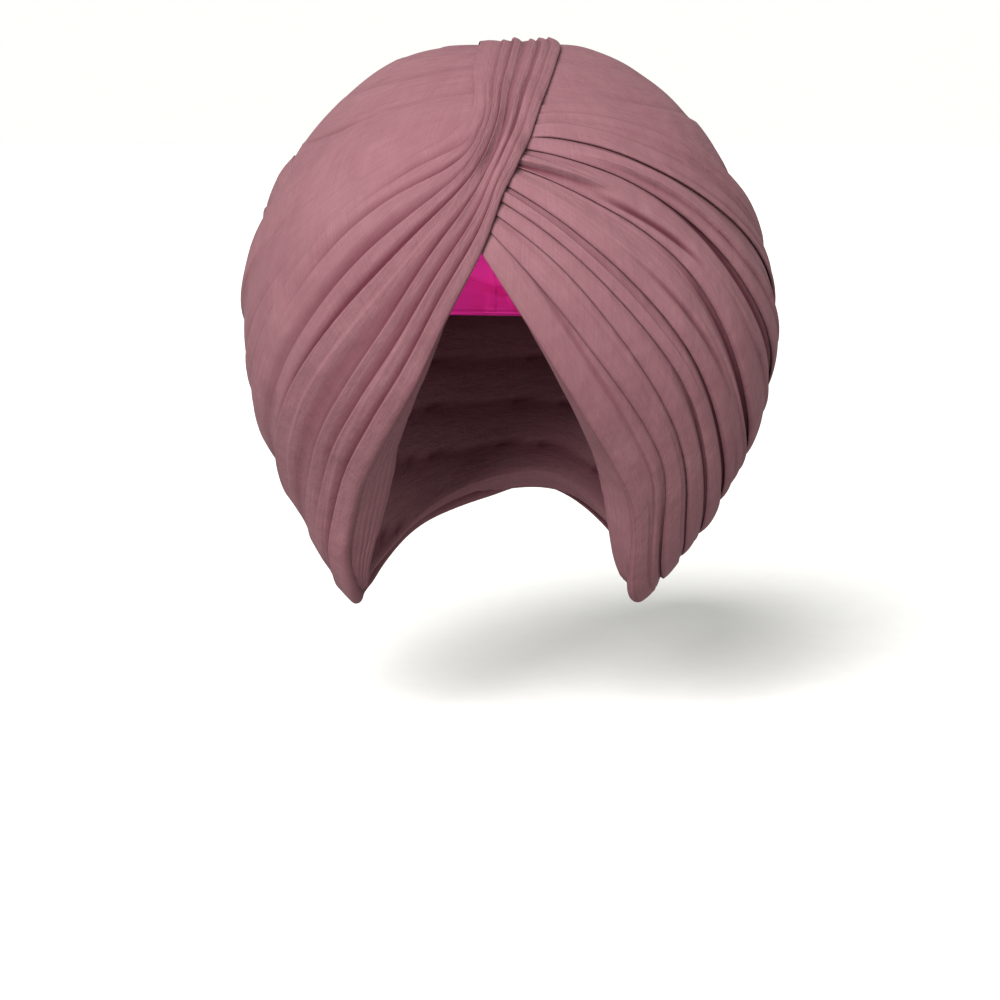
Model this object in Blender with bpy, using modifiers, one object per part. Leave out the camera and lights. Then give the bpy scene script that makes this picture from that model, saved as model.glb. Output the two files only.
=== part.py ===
"""A wound turban that keeps its worn form, open at the face and at the neck.

Blender 4.5, metres, +Z up. The wearer looks along -Y and the wearer's left is +X.
The origin is the middle of the head opening, level with the lower edge of the under band.

Every place on the turban is given by a bearing and an elevation seen from BODY_CENTRE, in degrees.
Bearing 0 is straight ahead (-Y), 90 is +X and 180 is the back. Elevation 90 is the top.
Each turn of cloth is a sheet between a lower and an upper border. It is laid on whatever lies
beneath it, so that its height follows from the turns below it.
"""
from dataclasses import dataclass

import bpy
import numpy as np
from mathutils import Vector
from mathutils.bvhtree import BVHTree

# Wound body, from its centre to the outside of the inner turns
BODY_CENTRE = np.array((0.0, 0.015, -0.005))
HALF_WIDTH = 0.1225
FRONT_REACH = 0.1235
BACK_REACH = 0.1300
TOP_RISE = 0.1215

# Hollow for the head and the hair wound on top of it, from the same centre
HOLLOW_HALF_WIDTH = 0.0780
HOLLOW_FRONT = 0.1150
HOLLOW_BACK = 0.0860
HOLLOW_TOP = 0.0980
WALL_LEAST = 0.0050

# Cloth
TURN_THICKNESS = 0.0012
UNDER_BAND_THICKNESS = 0.0012
LAY_GAP = 0.0004
UNDER_BAND_GAP = 0.0004
TUCK = 0.0080
TUCK_MOST = 0.35
RIM_RECESS = 0.0060
RIM_SLANT = 0.0090
RIM_ROUND = 0.0030
EDGE_ROLL = 0.0024
EDGE_DEPTH = 0.0075
EDGE_STEP = 0.01
PLEAT_RISE = 0.0022
UNDER_BAND_HEIGHT = 0.0560

# Shape of the body by elevation, as shares of the reach to each side
BODY_SHAPE = (
    # elevation, side, front, back
    (-66, 1.290, 1.080, 0.900),
    (-55, 1.180, 1.000, 0.930),
    (-46, 1.108, 0.945, 0.950),
    (-37, 1.066, 0.930, 0.965),
    (-28, 1.042, 0.935, 0.980),
    (-15, 1.020, 0.965, 0.995),
    (0, 1.008, 1.000, 1.000),
    (15, 0.992, 1.040, 1.003),
    (30, 0.986, 1.055, 1.003),
    (50, 1.015, 1.050, 1.000),
    (70, 1.027, 1.030, 1.000),
    (90, 1.000, 1.000, 1.000),
)
HOLLOW_SHAPE = (
    # elevation, side, front, back
    (-64, 1.700, 1.000, 1.150),
    (-53, 1.400, 0.940, 1.080),
    (-44, 1.220, 0.920, 1.040),
    (-30, 1.080, 0.940, 1.000),
    (-15, 1.010, 0.975, 0.990),
    (0, 1.000, 1.000, 1.000),
    (20, 0.990, 0.985, 1.020),
    (45, 0.960, 0.930, 1.010),
    (70, 0.970, 0.960, 0.990),
    (90, 1.000, 1.000, 1.000),
)

# Lower edge of the whole turban, round the head
RIM_LINE = (
    # bearing, elevation
    (-75, -64),
    (-55, -54),
    (-38, -39),
    (-24, -25),
    (-14, -12),
    (-6, 3),
    (1, 16),
    (5, 11),
    (9, 3),
    (20, -14),
    (31, -28),
    (45, -43),
    (57, -54),
    (70, -61.5),
    (95, -63),
    (130, -60),
    (165, -57),
    (190, -59),
    (225, -61),
    (258, -64),
)

# The creases that sweep from the front over the right side, each the lower border of a turn
CREASE_BEARINGS = (20, 45, 70, 95, 130, 165, 195)
# The lowest of them rolls round the rim from the first of these stations to the last
RIM_ROLL_STATIONS = (0.25, 0.75, 3.7, 4.7)
RIGHT_CREASES = (
    # first bearing, first elevation, then the elevation at each of CREASE_BEARINGS
    (-3, 21.0, -14.0, -43.0, -61.5, -63.0, -60.0, -55.0, -51.5),
    (-2, 24.0, 0.0, -29.0, -54.0, -59.0, -56.5, -52.0, -48.5),
    (-1, 26.0, 9.0, -21.0, -46.5, -54.5, -53.0, -49.0, -45.0),
    (0, 28.0, 14.0, -12.0, -40.0, -50.0, -49.0, -45.5, -42.0),
    (1, 31.0, 19.0, -4.5, -32.0, -43.5, -44.5, -42.0, -39.0),
    (3, 34.5, 28.0, 12.0, -18.0, -34.0, -39.5, -38.0, -36.0),
    (4, 37.5, 35.0, 24.5, 3.0, -17.0, -31.0, -33.0, -32.0),
    (5, 40.5, 40.0, 33.0, 20.5, 3.5, -20.0, -27.5, -28.0),
)

FINAL_SECTIONS = (
    # lower bearing, lower elevation, upper bearing, upper elevation, pleat share, edge roll share
    (5, 39.5, 8, 46, 0.0, 0.0),
    (20, 39, 20, 48, 0.0, 0.0),
    (45, 32, 42, 47, 0.1, 0.0),
    (70, 19.5, 66, 38.5, 0.1, 0.0),
    (95, 2.5, 92, 25, 0.1, 0.0),
    (125, -19, 125, 6, 0.15, 0.0),
    (150, -36, 155, -9, 0.2, 0.0),
    (170, -50, 180, -19, 0.25, 0.0),
    (190, -59, 205, -27, 0.3, 0.4),
    (225, -61, 230, -31, 0.4, 1.0),
    (258, -64, 255, -32, 0.5, 1.0),
    (285, -64, 275, -27, 0.6, 1.0),
    (305, -54, 290, -15, 0.75, 1.0),
    (322, -39, 307, 1, 0.85, 1.0),
    (336, -25, 320, 15, 1.0, 1.0),
    (346, -12, 331, 26, 1.0, 1.0),
    (354, 3, 342, 34, 1.0, 0.9),
    (361, 16, 351, 39.5, 1.0, 0.1),
    (365, 26, 355.5, 44, 1.0, 0.0),
    (370, 36, 356, 50, 1.0, 0.0),
    (375, 47, 353, 58, 1.0, 0.0),
    (384, 60, 350, 67, 0.9, 0.0),
    (405, 73, 338, 78, 0.8, 0.0),
    (450, 80, 270, 84, 0.7, 0.0),
    (505, 72, 215, 76, 0.65, 0.0),
    (521, 55, 203, 59, 0.6, 0.0),
    (526, 37, 199, 39, 0.55, 0.0),
    (528, 19, 197, 20, 0.5, 0.0),
    (529, 2, 196, 2, 0.45, 0.0),
    (530, -14, 195, -14, 0.3, 0.0),
)
FINAL_CROSSING = 7
FINAL_TUCKED = 27
# How an edge rolls inwards, from its end to the border
EDGE_PROFILE = (
    # share of EDGE_ROLL beyond the border, share of EDGE_DEPTH inwards
    (1.0, 1.0),
    (0.75, 0.25),
)
# Across the final turn: where its lines run, and how high each stands as a share of PLEAT_RISE
FINAL_LINES = (
    # share of the way across, rise
    (0.00, 0.30),
    (0.05, 0.90),
    (0.10, 0.00),
    (0.16, 0.95),
    (0.22, 0.00),
    (0.275, 0.90),
    (0.33, 0.00),
    (0.45, 1.00),
    (0.58, 0.00),
    (0.65, 0.90),
    (0.72, 0.10),
    (0.80, 0.80),
    (0.87, 0.20),
    (0.94, 0.50),
    (1.00, 0.00),
)

# The turns round the crown that pass beneath the final turn, innermost first
UPPER_TURNS = (
    (
        # lower bearing, lower elevation, upper bearing, upper elevation
        (100, 29, 100, 35),
        (114, 25, 114, 44),
        (136, 19, 136, 45),
        (180, 12, 180, 40),
        (230, 16, 230, 45),
        (262, 26, 262, 47),
        (282, 32, 282, 42),
        (294, 29, 294, 36),
    ),
    (
        (86, 27, 86, 33),
        (98, 21, 98, 39),
        (120, 11, 120, 34),
        (150, -3, 150, 23),
        (185, -10, 185, 17),
        (220, -12, 220, 20),
        (255, -2, 255, 33),
        (280, 8, 280, 41),
        (300, 18, 300, 37),
        (314, 23, 314, 35),
    ),
    (
        (0, 38, 0, 52),
        (25, 40, 25, 51),
        (58, 34, 58, 43),
        (90, 20, 90, 33),
        (120, 2, 120, 17),
        (150, -15, 150, 4),
        (180, -27, 180, -4),
        (210, -36, 210, -8),
        (240, -38, 240, -7),
        (270, -34, 270, 10),
        (302, -12, 302, 35),
        (335, 20, 335, 49),
        (360, 38, 360, 52),
    ),
)
CLOSED_UPPER_TURN = 2

# Edge of the cloth spread over the crown
CROWN_LINE = (
    # bearing, elevation
    (0, 44),
    (60, 38),
    (120, 30),
    (180, 28),
    (240, 30),
    (300, 36),
)

# Lower edge of the band round the brow, beneath the turns
UNDER_BAND_LINE = (
    # bearing, elevation
    (0, 2.5),
    (60, 0),
    (100, -5),
    (140, -8),
    (180, -9),
    (220, -8),
    (260, -5),
    (300, 0),
)

# How finely each piece is divided
BODY_SECTORS = 56
BODY_ROWS_OUTSIDE = 11
BODY_ROWS_INSIDE = 9
RIGHT_STEPS = 3
FINAL_STEPS = 2
UPPER_STEPS = 3
RIGHT_ACROSS = 3
UPPER_ACROSS = 4
CROWN_SECTORS = 32
CROWN_ROWS = 6
UNDER_SECTORS = 36
UNDER_ROWS = 2
SAMPLES_PER_CELL = 6
LAY_PASSES = 4
RAY_LENGTH = 0.04
HOLLOW_RAY = 0.30
LEVEL_LIFT = 0.3
SETTLE_PASSES = 12
SETTLE_STEP = 0.0001

# Finishes: red, green and blue of each cloth, and one roughness for all
CLOTH_COLOUR = (0.42, 0.235, 0.26)
INNER_COLOUR = (0.33, 0.18, 0.20)
BAND_COLOUR = (0.45, 0.02, 0.14)
CLOTH_ROUGHNESS = 0.85


def clear_objects():
    """Removes every object that the file holds."""
    for old in list(bpy.data.objects):
        bpy.data.objects.remove(old, do_unlink=True)


def make_material(name, colour):
    """Returns a matt cloth material of one colour."""
    material = bpy.data.materials.new(name)
    material.use_nodes = True
    shader = material.node_tree.nodes["Principled BSDF"]
    shader.inputs["Base Color"].default_value = (*colour, 1.0)
    shader.inputs["Roughness"].default_value = CLOTH_ROUGHNESS
    shader.inputs["Metallic"].default_value = 0.0
    return material


def curve_through(keys, values, at):
    """Smooth cubic through rows of values at rising keys, read at the given places."""
    keys = np.asarray(keys, float)
    values = np.asarray(values, float)
    at = np.clip(np.asarray(at, float), keys[0], keys[-1])
    slopes = np.gradient(values, keys, axis=0)
    cell = np.clip(np.searchsorted(keys, at, side="right") - 1, 0, len(keys) - 2)
    width = keys[cell + 1] - keys[cell]
    share = (at - keys[cell]) / width
    if values.ndim > 1:
        share = share[..., None]
        width = width[..., None]
    start = (2 * share**3 - 3 * share**2 + 1) * values[cell]
    start_slope = (share**3 - 2 * share**2 + share) * width * slopes[cell]
    end = (3 * share**2 - 2 * share**3) * values[cell + 1]
    end_slope = (share**3 - share**2) * width * slopes[cell + 1]
    return start + start_slope + end + end_slope


def closed_curve(rows, bearings):
    """Reads a closed line of (bearing, elevation) rows at any bearings."""
    rows = np.asarray(rows, float)
    keys = np.concatenate((rows[:, 0] - 360, rows[:, 0], rows[:, 0] + 360))
    values = np.tile(rows[:, 1], 3)
    first = rows[0, 0]
    turned = (np.asarray(bearings, float) - first) % 360 + first
    return curve_through(keys, values, turned)


def unit_direction(bearing, elevation):
    """Unit vectors for bearings and elevations in degrees."""
    bearing = np.radians(bearing)
    elevation = np.radians(elevation)
    flat = np.cos(elevation)
    return np.stack((np.sin(bearing) * flat, -np.cos(bearing) * flat, np.sin(elevation)), axis=-1)


def shaped_points(unit, table, side, front, back, top):
    """Places unit directions on a rounded body that has its own reach to each side.

    The table's shares for the side and for the front or back are joined as an ellipse is.
    """
    flat = np.hypot(unit[..., 0], unit[..., 1])
    elevation = np.degrees(np.arctan2(unit[..., 2], flat))
    shares = curve_through([row[0] for row in table], [row[1:] for row in table], elevation)
    turn = np.arctan2(unit[..., 0], unit[..., 1])
    across = np.sin(turn)
    along = np.cos(turn)
    ahead = np.where(along < 0, shares[..., 1], shares[..., 2])
    share = 1 / np.sqrt((across / shares[..., 0]) ** 2 + (along / ahead) ** 2)
    depth = np.where(along < 0, front, back)
    scale = np.stack((np.full_like(share, side), depth, np.full_like(share, top)), axis=-1)
    return unit * scale * share[..., None]


def body_reach(unit):
    """Vectors from BODY_CENTRE to the outside of the inner turns."""
    return shaped_points(unit, BODY_SHAPE, HALF_WIDTH, FRONT_REACH, BACK_REACH, TOP_RISE)


def hollow_reach(unit):
    """Vectors from BODY_CENTRE to the wall of the hollow, which leaves WALL_LEAST of cloth."""
    outside = body_reach(unit)
    inside = shaped_points(
        unit, HOLLOW_SHAPE, HOLLOW_HALF_WIDTH, HOLLOW_FRONT, HOLLOW_BACK, HOLLOW_TOP
    )
    outside_length = np.linalg.norm(outside, axis=-1)
    inside_length = np.linalg.norm(inside, axis=-1)
    kept = np.minimum(inside_length, outside_length - WALL_LEAST)
    return inside * (kept / inside_length)[..., None]


def unit_vectors(vectors):
    """The same vectors with a length of one."""
    return vectors / np.linalg.norm(vectors, axis=-1, keepdims=True)


def lift_directions(unit):
    """The way that a turn rises from the body: outwards, and level where the wall stands steep."""
    steep = np.where(unit[..., 2:] < 0, LEVEL_LIFT, 1.0)
    return unit_vectors(unit * np.concatenate((np.ones_like(unit[..., :2]), steep), axis=-1))


def lengthened(reach, extra):
    """The same vectors, longer by extra metres."""
    length = np.linalg.norm(reach, axis=-1, keepdims=True)
    return reach * (1 + np.asarray(extra)[..., None] / length)


def add_object(name, vertices, faces, material, collection):
    """Makes a smooth-shaded mesh object in the collection."""
    mesh = bpy.data.meshes.new(name)
    mesh.from_pydata([tuple(point) for point in vertices], [], faces)
    mesh.update()
    mesh.shade_smooth()
    if material:
        mesh.materials.append(material)
    made = bpy.data.objects.new(name, mesh)
    collection.objects.link(made)
    return made


def grid_faces(rows, columns, closed=False):
    """Triangles of a grid of points whose rows are listed one after another."""
    faces = []
    for row in range(rows if closed else rows - 1):
        after = (row + 1) % rows
        for column in range(columns - 1):
            here = row * columns + column
            across = after * columns + column
            faces.append((here, across, across + 1))
            faces.append((here, across + 1, here + 1))
    return faces


def thicken(made, thickness, outward=True):
    """Gives an open sheet its thickness."""
    solidify = made.modifiers.new("thickness", "SOLIDIFY")
    solidify.thickness = thickness
    solidify.offset = 1.0 if outward else -1.0
    solidify.use_rim = True


def evaluated_mesh(made):
    """World points and faces of an object with its modifiers."""
    bpy.context.view_layer.update()
    seen = made.evaluated_get(bpy.context.evaluated_depsgraph_get())
    mesh = seen.to_mesh()
    points = [made.matrix_world @ vertex.co for vertex in mesh.vertices]
    faces = [tuple(face.vertices) for face in mesh.polygons]
    seen.to_mesh_clear()
    return points, faces


class Pile:
    """The pieces laid so far, as one surface that the next piece is laid on."""

    def __init__(self):
        self.points = []
        self.faces = []
        self.tree = None

    def add(self, made):
        """Adds a finished piece to the pile."""
        points, faces = evaluated_mesh(made)
        first = len(self.points)
        self.points += points
        self.faces += [tuple(first + corner for corner in face) for face in faces]
        self.tree = BVHTree.FromPolygons(self.points, self.faces)

    def above(self, points, lift):
        """How far the pile stands over each point, along its lift direction."""
        found = np.full(points.shape[:-1], -RAY_LENGTH)
        for place in np.ndindex(found.shape):
            point = Vector(points[place])
            ray = Vector(lift[place])
            hit = self.tree.ray_cast(point + ray * RAY_LENGTH, -ray, 2 * RAY_LENGTH)[0]
            if hit is not None:
                found[place] = (hit - point).dot(ray)
        return found

    def meets(self, made):
        """Numbers of the points of a thickened sheet whose faces cut the pile."""
        points, faces = evaluated_mesh(made)
        tree = BVHTree.FromPolygons(points, faces)
        return {corner for face, _ in tree.overlap(self.tree) for corner in faces[face]}

    def inside(self, reach):
        """Distance from the centre to the first wall of the pile along each vector."""
        found = np.full(reach.shape[:-1], HOLLOW_RAY)
        centre = Vector(BODY_CENTRE)
        for place in np.ndindex(found.shape):
            ray = Vector(reach[place]).normalized()
            hit = self.tree.ray_cast(centre, ray, HOLLOW_RAY)[0]
            if hit is not None:
                found[place] = (hit - centre).length
        return found


def dense_grid(grid):
    """Points all over the facets of a grid, SAMPLES_PER_CELL to the side of each cell."""
    rows, columns = grid.shape[:2]
    row_at = np.linspace(0, rows - 1, (rows - 1) * SAMPLES_PER_CELL + 1)
    column_at = np.linspace(0, columns - 1, (columns - 1) * SAMPLES_PER_CELL + 1)
    row_low = np.minimum(row_at.astype(int), rows - 2)
    column_low = np.minimum(column_at.astype(int), columns - 2)
    row_share = (row_at - row_low)[:, None, None]
    column_share = (column_at - column_low)[None, :, None]
    here = grid[row_low][:, column_low]
    beside = grid[row_low][:, column_low + 1]
    after = grid[row_low + 1][:, column_low]
    opposite = grid[row_low + 1][:, column_low + 1]
    first = here + (after - here) * row_share + (opposite - after) * column_share
    second = here + (beside - here) * column_share + (opposite - beside) * row_share
    return np.where(row_share >= column_share, first, second)


def most_round_points(dense, rows, columns):
    """Greatest dense value in the cells round each point of the grid."""
    most = np.zeros((rows, columns))
    for row in range(rows):
        for column in range(columns):
            top = max(0, (row - 1) * SAMPLES_PER_CELL)
            left = max(0, (column - 1) * SAMPLES_PER_CELL)
            bottom = (row + 1) * SAMPLES_PER_CELL + 1
            right = (column + 1) * SAMPLES_PER_CELL + 1
            most[row, column] = dense[top:bottom, left:right].max()
    return most


@dataclass
class Sheet:
    """A sheet of cloth as a grid of directions with heights and an edge that rolls inwards."""

    unit: np.ndarray
    fold: np.ndarray
    edge: np.ndarray
    rise: np.ndarray = None

    def lay(self, pile, first=0, last=None):
        """Lifts the rows from first to last until all their facets clear the pile."""
        if self.rise is None:
            self.rise = np.zeros(self.unit.shape[:2])
        last = self.unit.shape[0] if last is None else last
        unit = self.unit[first:last]
        base = BODY_CENTRE + body_reach(unit)
        lift = lift_directions(unit)
        dense_lift = unit_vectors(dense_grid(lift))
        rise = np.zeros(unit.shape[:2])
        for _ in range(LAY_PASSES):
            height = rise + self.fold[first:last]
            dense = dense_grid(base + lift * height[..., None])
            short = pile.above(dense, dense_lift) + LAY_GAP
            rise = rise + np.maximum(most_round_points(short, *rise.shape), 0)
        self.rise[first:last] = rise

    def settle(self, pile, first=0, last=None):
        """Lifts the cells from row first to last that still cut the pile, a little at a time."""
        last = self.unit.shape[0] if last is None else last
        for _ in range(SETTLE_PASSES):
            trial = sheet_object("trial", self, None, bpy.context.scene.collection, first, last)
            met = pile.meets(trial)
            count = len(trial.data.vertices)
            bpy.data.objects.remove(trial, do_unlink=True)
            if not met:
                return
            columns = count // (last - first)
            rolled = columns - self.unit.shape[1]
            rows = first + np.array([corner % count // columns for corner in met])
            places = np.maximum(np.array([corner % count % columns for corner in met]) - rolled, 0)
            raised = np.zeros(self.rise.shape, bool)
            raised[rows, places] = True
            self.rise[raised] += SETTLE_STEP

    def points(self, first=0, last=None):
        """Points of the sheet's inner face, with its rolled lower edge first in each row."""
        unit = self.unit[first:last]
        height = self.rise[first:last] + self.fold[first:last]
        lift = lift_directions(unit)
        reach = body_reach(unit) + lift * height[..., None]
        if not self.edge.any():
            return BODY_CENTRE + reach
        across = unit[:, 0] - unit[:, 1]
        across = unit_vectors(across)
        beyond = unit_vectors(unit[:, 0] + across * EDGE_STEP)
        outward = unit_vectors(body_reach(beyond) - body_reach(unit[:, 0]))
        normal = unit_vectors(np.cross(np.gradient(reach[:, 0], axis=0), outward))
        share = self.edge[first:last, None]
        rolled = []
        for out, down in EDGE_PROFILE:
            beyond = reach[:, 0] + outward * (EDGE_ROLL * out)
            rolled.append(beyond + normal * (EDGE_DEPTH * down) * share)
        return BODY_CENTRE + np.concatenate((np.stack(rolled, axis=1), reach), axis=1)


def between(lower, upper, shares):
    """Directions between two borders, along the shortest way from one to the other."""
    turn = np.arccos(np.clip(np.sum(lower * upper, axis=-1), -1, 1))[:, None, None]
    shares = np.asarray(shares, float)
    if shares.ndim == 1:
        shares = np.tile(shares, (lower.shape[0], 1))
    shares = shares[:, :, None]
    low = np.sin((1 - shares) * turn) * lower[:, None]
    high = np.sin(shares * turn) * upper[:, None]
    mixed = low + high
    return mixed / np.linalg.norm(mixed, axis=-1, keepdims=True)


def smooth_rows(rows, steps, closed=False):
    """Reads rows of values as a smooth curve, with steps places to each row."""
    rows = np.asarray(rows, float)
    keys = np.arange(len(rows))
    at = np.linspace(0, len(rows) - 1, (len(rows) - 1) * steps + 1)
    if closed:
        rows = np.concatenate((rows[-3:-1], rows, rows[1:3]))
        keys = np.arange(-2, len(rows) - 2)
        return curve_through(keys, rows, at)
    return curve_through(keys, rows, at)


def border_directions(bearings, elevations, steps, closed=False):
    """Unit vectors along a border that runs smoothly through its rows."""
    line = smooth_rows(unit_direction(np.asarray(bearings), np.asarray(elevations)), steps, closed)
    return line / np.linalg.norm(line, axis=-1, keepdims=True)


def rim_elevation(bearings, drawn_back):
    """Elevation of the lower edge, drawn back inside the turns that roll round it."""
    step = 1.0
    line = closed_curve(RIM_LINE, bearings)
    ahead = closed_curve(RIM_LINE, np.asarray(bearings) + step)
    behind = closed_curve(RIM_LINE, np.asarray(bearings) - step)
    slope = np.maximum(abs(ahead - line), abs(line - behind)) / step * np.cos(np.radians(line))
    recess = np.degrees(drawn_back / HALF_WIDTH)
    return line + recess * np.sqrt(1 + slope**2)


def make_inner_turns(material, collection):
    """The thick wound body beneath the outer turns, with the hollow for the head."""
    bearings = np.arange(BODY_SECTORS) * 360 / BODY_SECTORS
    outer_rims = rim_elevation(bearings, RIM_RECESS)
    inner_rims = rim_elevation(bearings, RIM_RECESS + RIM_SLANT)
    points = []
    sections = []
    for bearing, rim, inner_rim in zip(bearings, outer_rims, inner_rims):
        outside = np.linspace(90, rim, BODY_ROWS_OUTSIDE + 1)[1:]
        inside = np.linspace(inner_rim, 90, BODY_ROWS_INSIDE + 1)[:-1]
        outer = body_reach(unit_direction(np.full(outside.shape, bearing), outside))
        inner = hollow_reach(unit_direction(np.full(inside.shape, bearing), inside))
        wall = np.linalg.norm(outer[-1]) - np.linalg.norm(inner[0])
        corner = min(RIM_ROUND, wall / 4)
        above = np.degrees(corner / HALF_WIDTH)
        outer_shoulder = body_reach(unit_direction(np.array((bearing,)), np.array((rim + above,))))
        inner_shoulder = hollow_reach(
            unit_direction(np.array((bearing,)), np.array((inner_rim + above,)))
        )
        outer_corner = lengthened(outer[-1:], np.array((-corner,)))
        inner_corner = lengthened(inner[:1], np.array((corner,)))
        ring = np.concatenate(
            (outer[:-1], outer_shoulder, outer_corner, inner_corner, inner_shoulder, inner[1:])
        )
        sections.append(len(ring))
        points.append(BODY_CENTRE + ring)
    columns = sections[0]
    vertices = np.concatenate(points)
    faces = [tuple(reversed(face)) for face in grid_faces(BODY_SECTORS, columns, closed=True)]
    top = len(vertices)
    straight_up = unit_direction(np.array((0.0,)), np.array((90.0,)))
    poles = np.concatenate((body_reach(straight_up), hollow_reach(straight_up))) + BODY_CENTRE
    vertices = np.concatenate((vertices, poles))
    for sector in range(BODY_SECTORS):
        after = (sector + 1) % BODY_SECTORS
        faces.append((top, sector * columns, after * columns))
        faces.append((top + 1, after * columns + columns - 1, sector * columns + columns - 1))
    return add_object("inner_turns", vertices, faces, material, collection)


def make_under_band(material, collection, pile):
    """The band round the brow that shows in the opening, laid inside the hollow."""
    bearings = np.arange(UNDER_SECTORS + 1) * 360 / UNDER_SECTORS
    lower = closed_curve(UNDER_BAND_LINE, bearings)
    tall = np.degrees(UNDER_BAND_HEIGHT / HOLLOW_FRONT)
    shares = np.linspace(0, 1, UNDER_ROWS + 1)
    elevations = lower[:, None] + tall * shares[None, :]
    unit = unit_direction(np.repeat(bearings[:, None], UNDER_ROWS + 1, axis=1), elevations)
    reach = hollow_reach(unit)
    wall = -most_round_points(-pile.inside(dense_grid(reach)), *reach.shape[:2]) - UNDER_BAND_GAP
    wall[0] = wall[-1] = np.minimum(wall[0], wall[-1])
    reach = reach * (wall / np.linalg.norm(reach, axis=-1))[..., None]
    vertices = (BODY_CENTRE + reach[:-1]).reshape(-1, 3)
    faces = grid_faces(UNDER_SECTORS, UNDER_ROWS + 1, True)
    made = add_object("under_band", vertices, faces, material, collection)
    thicken(made, UNDER_BAND_THICKNESS, outward=False)
    return made


def make_crown_cover(material, collection, pile):
    """The cloth spread over the crown, one cap with a low edge at the back."""
    bearings = np.arange(CROWN_SECTORS) * 360 / CROWN_SECTORS
    edge = closed_curve(CROWN_LINE, bearings)
    shares = np.arange(1, CROWN_ROWS + 1) / CROWN_ROWS
    elevations = 90 - (90 - edge)[:, None] * shares[None, :]
    unit = unit_direction(np.repeat(bearings[:, None], CROWN_ROWS, axis=1), elevations)
    around = np.concatenate((unit, unit[:1]))
    sheet = Sheet(around, np.zeros(around.shape[:2]), np.zeros(len(around)))
    sheet.lay(pile)
    sheet.rise[0] = sheet.rise[-1] = np.maximum(sheet.rise[0], sheet.rise[-1])
    points = sheet.points()[:-1]
    straight_up = unit_direction(np.array((0.0,)), np.array((90.0,)))
    pole = BODY_CENTRE + lengthened(body_reach(straight_up), sheet.rise[:, :1].max(axis=0))
    vertices = np.concatenate((points.reshape(-1, 3), pole))
    faces = [tuple(reversed(face)) for face in grid_faces(CROWN_SECTORS, CROWN_ROWS, True)]
    for sector in range(CROWN_SECTORS):
        after = (sector + 1) % CROWN_SECTORS
        faces.append((len(vertices) - 1, sector * CROWN_ROWS, after * CROWN_ROWS))
    made = add_object("crown_cover", vertices, faces, material, collection)
    thicken(made, TURN_THICKNESS)
    pile.add(made)
    return made


def sheet_object(name, sheet, material, collection, first=0, last=None, closed=False):
    """Makes the solid of a laid sheet, or of some of its rows."""
    points = sheet.points(first, last)
    if closed:
        points = points[:-1]
    rows, columns = points.shape[:2]
    faces = grid_faces(rows, columns, closed)
    made = add_object(name, points.reshape(-1, 3), faces, material, collection)
    thicken(made, TURN_THICKNESS)
    return made


def make_upper_turn(number, sections, material, collection, pile):
    """A turn round the crown, whose upper border shows above the turn outside it."""
    closed = number - 1 == CLOSED_UPPER_TURN
    rows = np.asarray(sections, float)
    lower = border_directions(rows[:, 0], rows[:, 1], UPPER_STEPS, closed)
    upper = border_directions(rows[:, 2], rows[:, 3], UPPER_STEPS, closed)
    unit = between(lower, upper, np.linspace(0, 1, UPPER_ACROSS + 1))
    flat = np.zeros(unit.shape[:2])
    sheet = Sheet(unit, flat, np.zeros(len(unit)))
    sheet.lay(pile)
    sheet.settle(pile)
    if closed:
        joined = np.maximum(sheet.rise[0], sheet.rise[-1])
        sheet.rise[0] = joined
        sheet.rise[-1] = joined
    made = sheet_object(f"upper_turn_{number}", sheet, material, collection, closed=closed)
    pile.add(made)
    return made


def crease_line(row):
    """Directions along one of the creases of the right side."""
    bearings = (row[0], *CREASE_BEARINGS)
    return border_directions(bearings, row[1:], RIGHT_STEPS)


def make_right_turn(number, material, collection, pile):
    """A turn of the right side, from the front centre to the nape.

    Its lower border lies on the turn beneath, and its upper border is tucked under the next one.
    """
    lower = crease_line(RIGHT_CREASES[number - 1])
    upper = crease_line(RIGHT_CREASES[number])
    reach = np.linalg.norm(body_reach(lower), axis=-1)
    width = np.arccos(np.clip(np.sum(lower * upper, axis=-1), -1, 1)) * reach
    tuck = np.minimum(TUCK / width, TUCK_MOST)
    shares = np.linspace(0, 1, RIGHT_ACROSS + 1)[None, :] * (1 + tuck)[:, None]
    unit = between(lower, upper, shares)
    edge = np.zeros(len(lower))
    if number == 1:
        along = np.arange(len(lower)) / RIGHT_STEPS
        edge = np.interp(along, RIM_ROLL_STATIONS, (0, 1, 1, 0))
    sheet = Sheet(unit, np.zeros(unit.shape[:2]), edge)
    sheet.lay(pile)
    sheet.settle(pile)
    made = sheet_object(f"right_turn_{number}", sheet, material, collection)
    pile.add(made)
    return made


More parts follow.
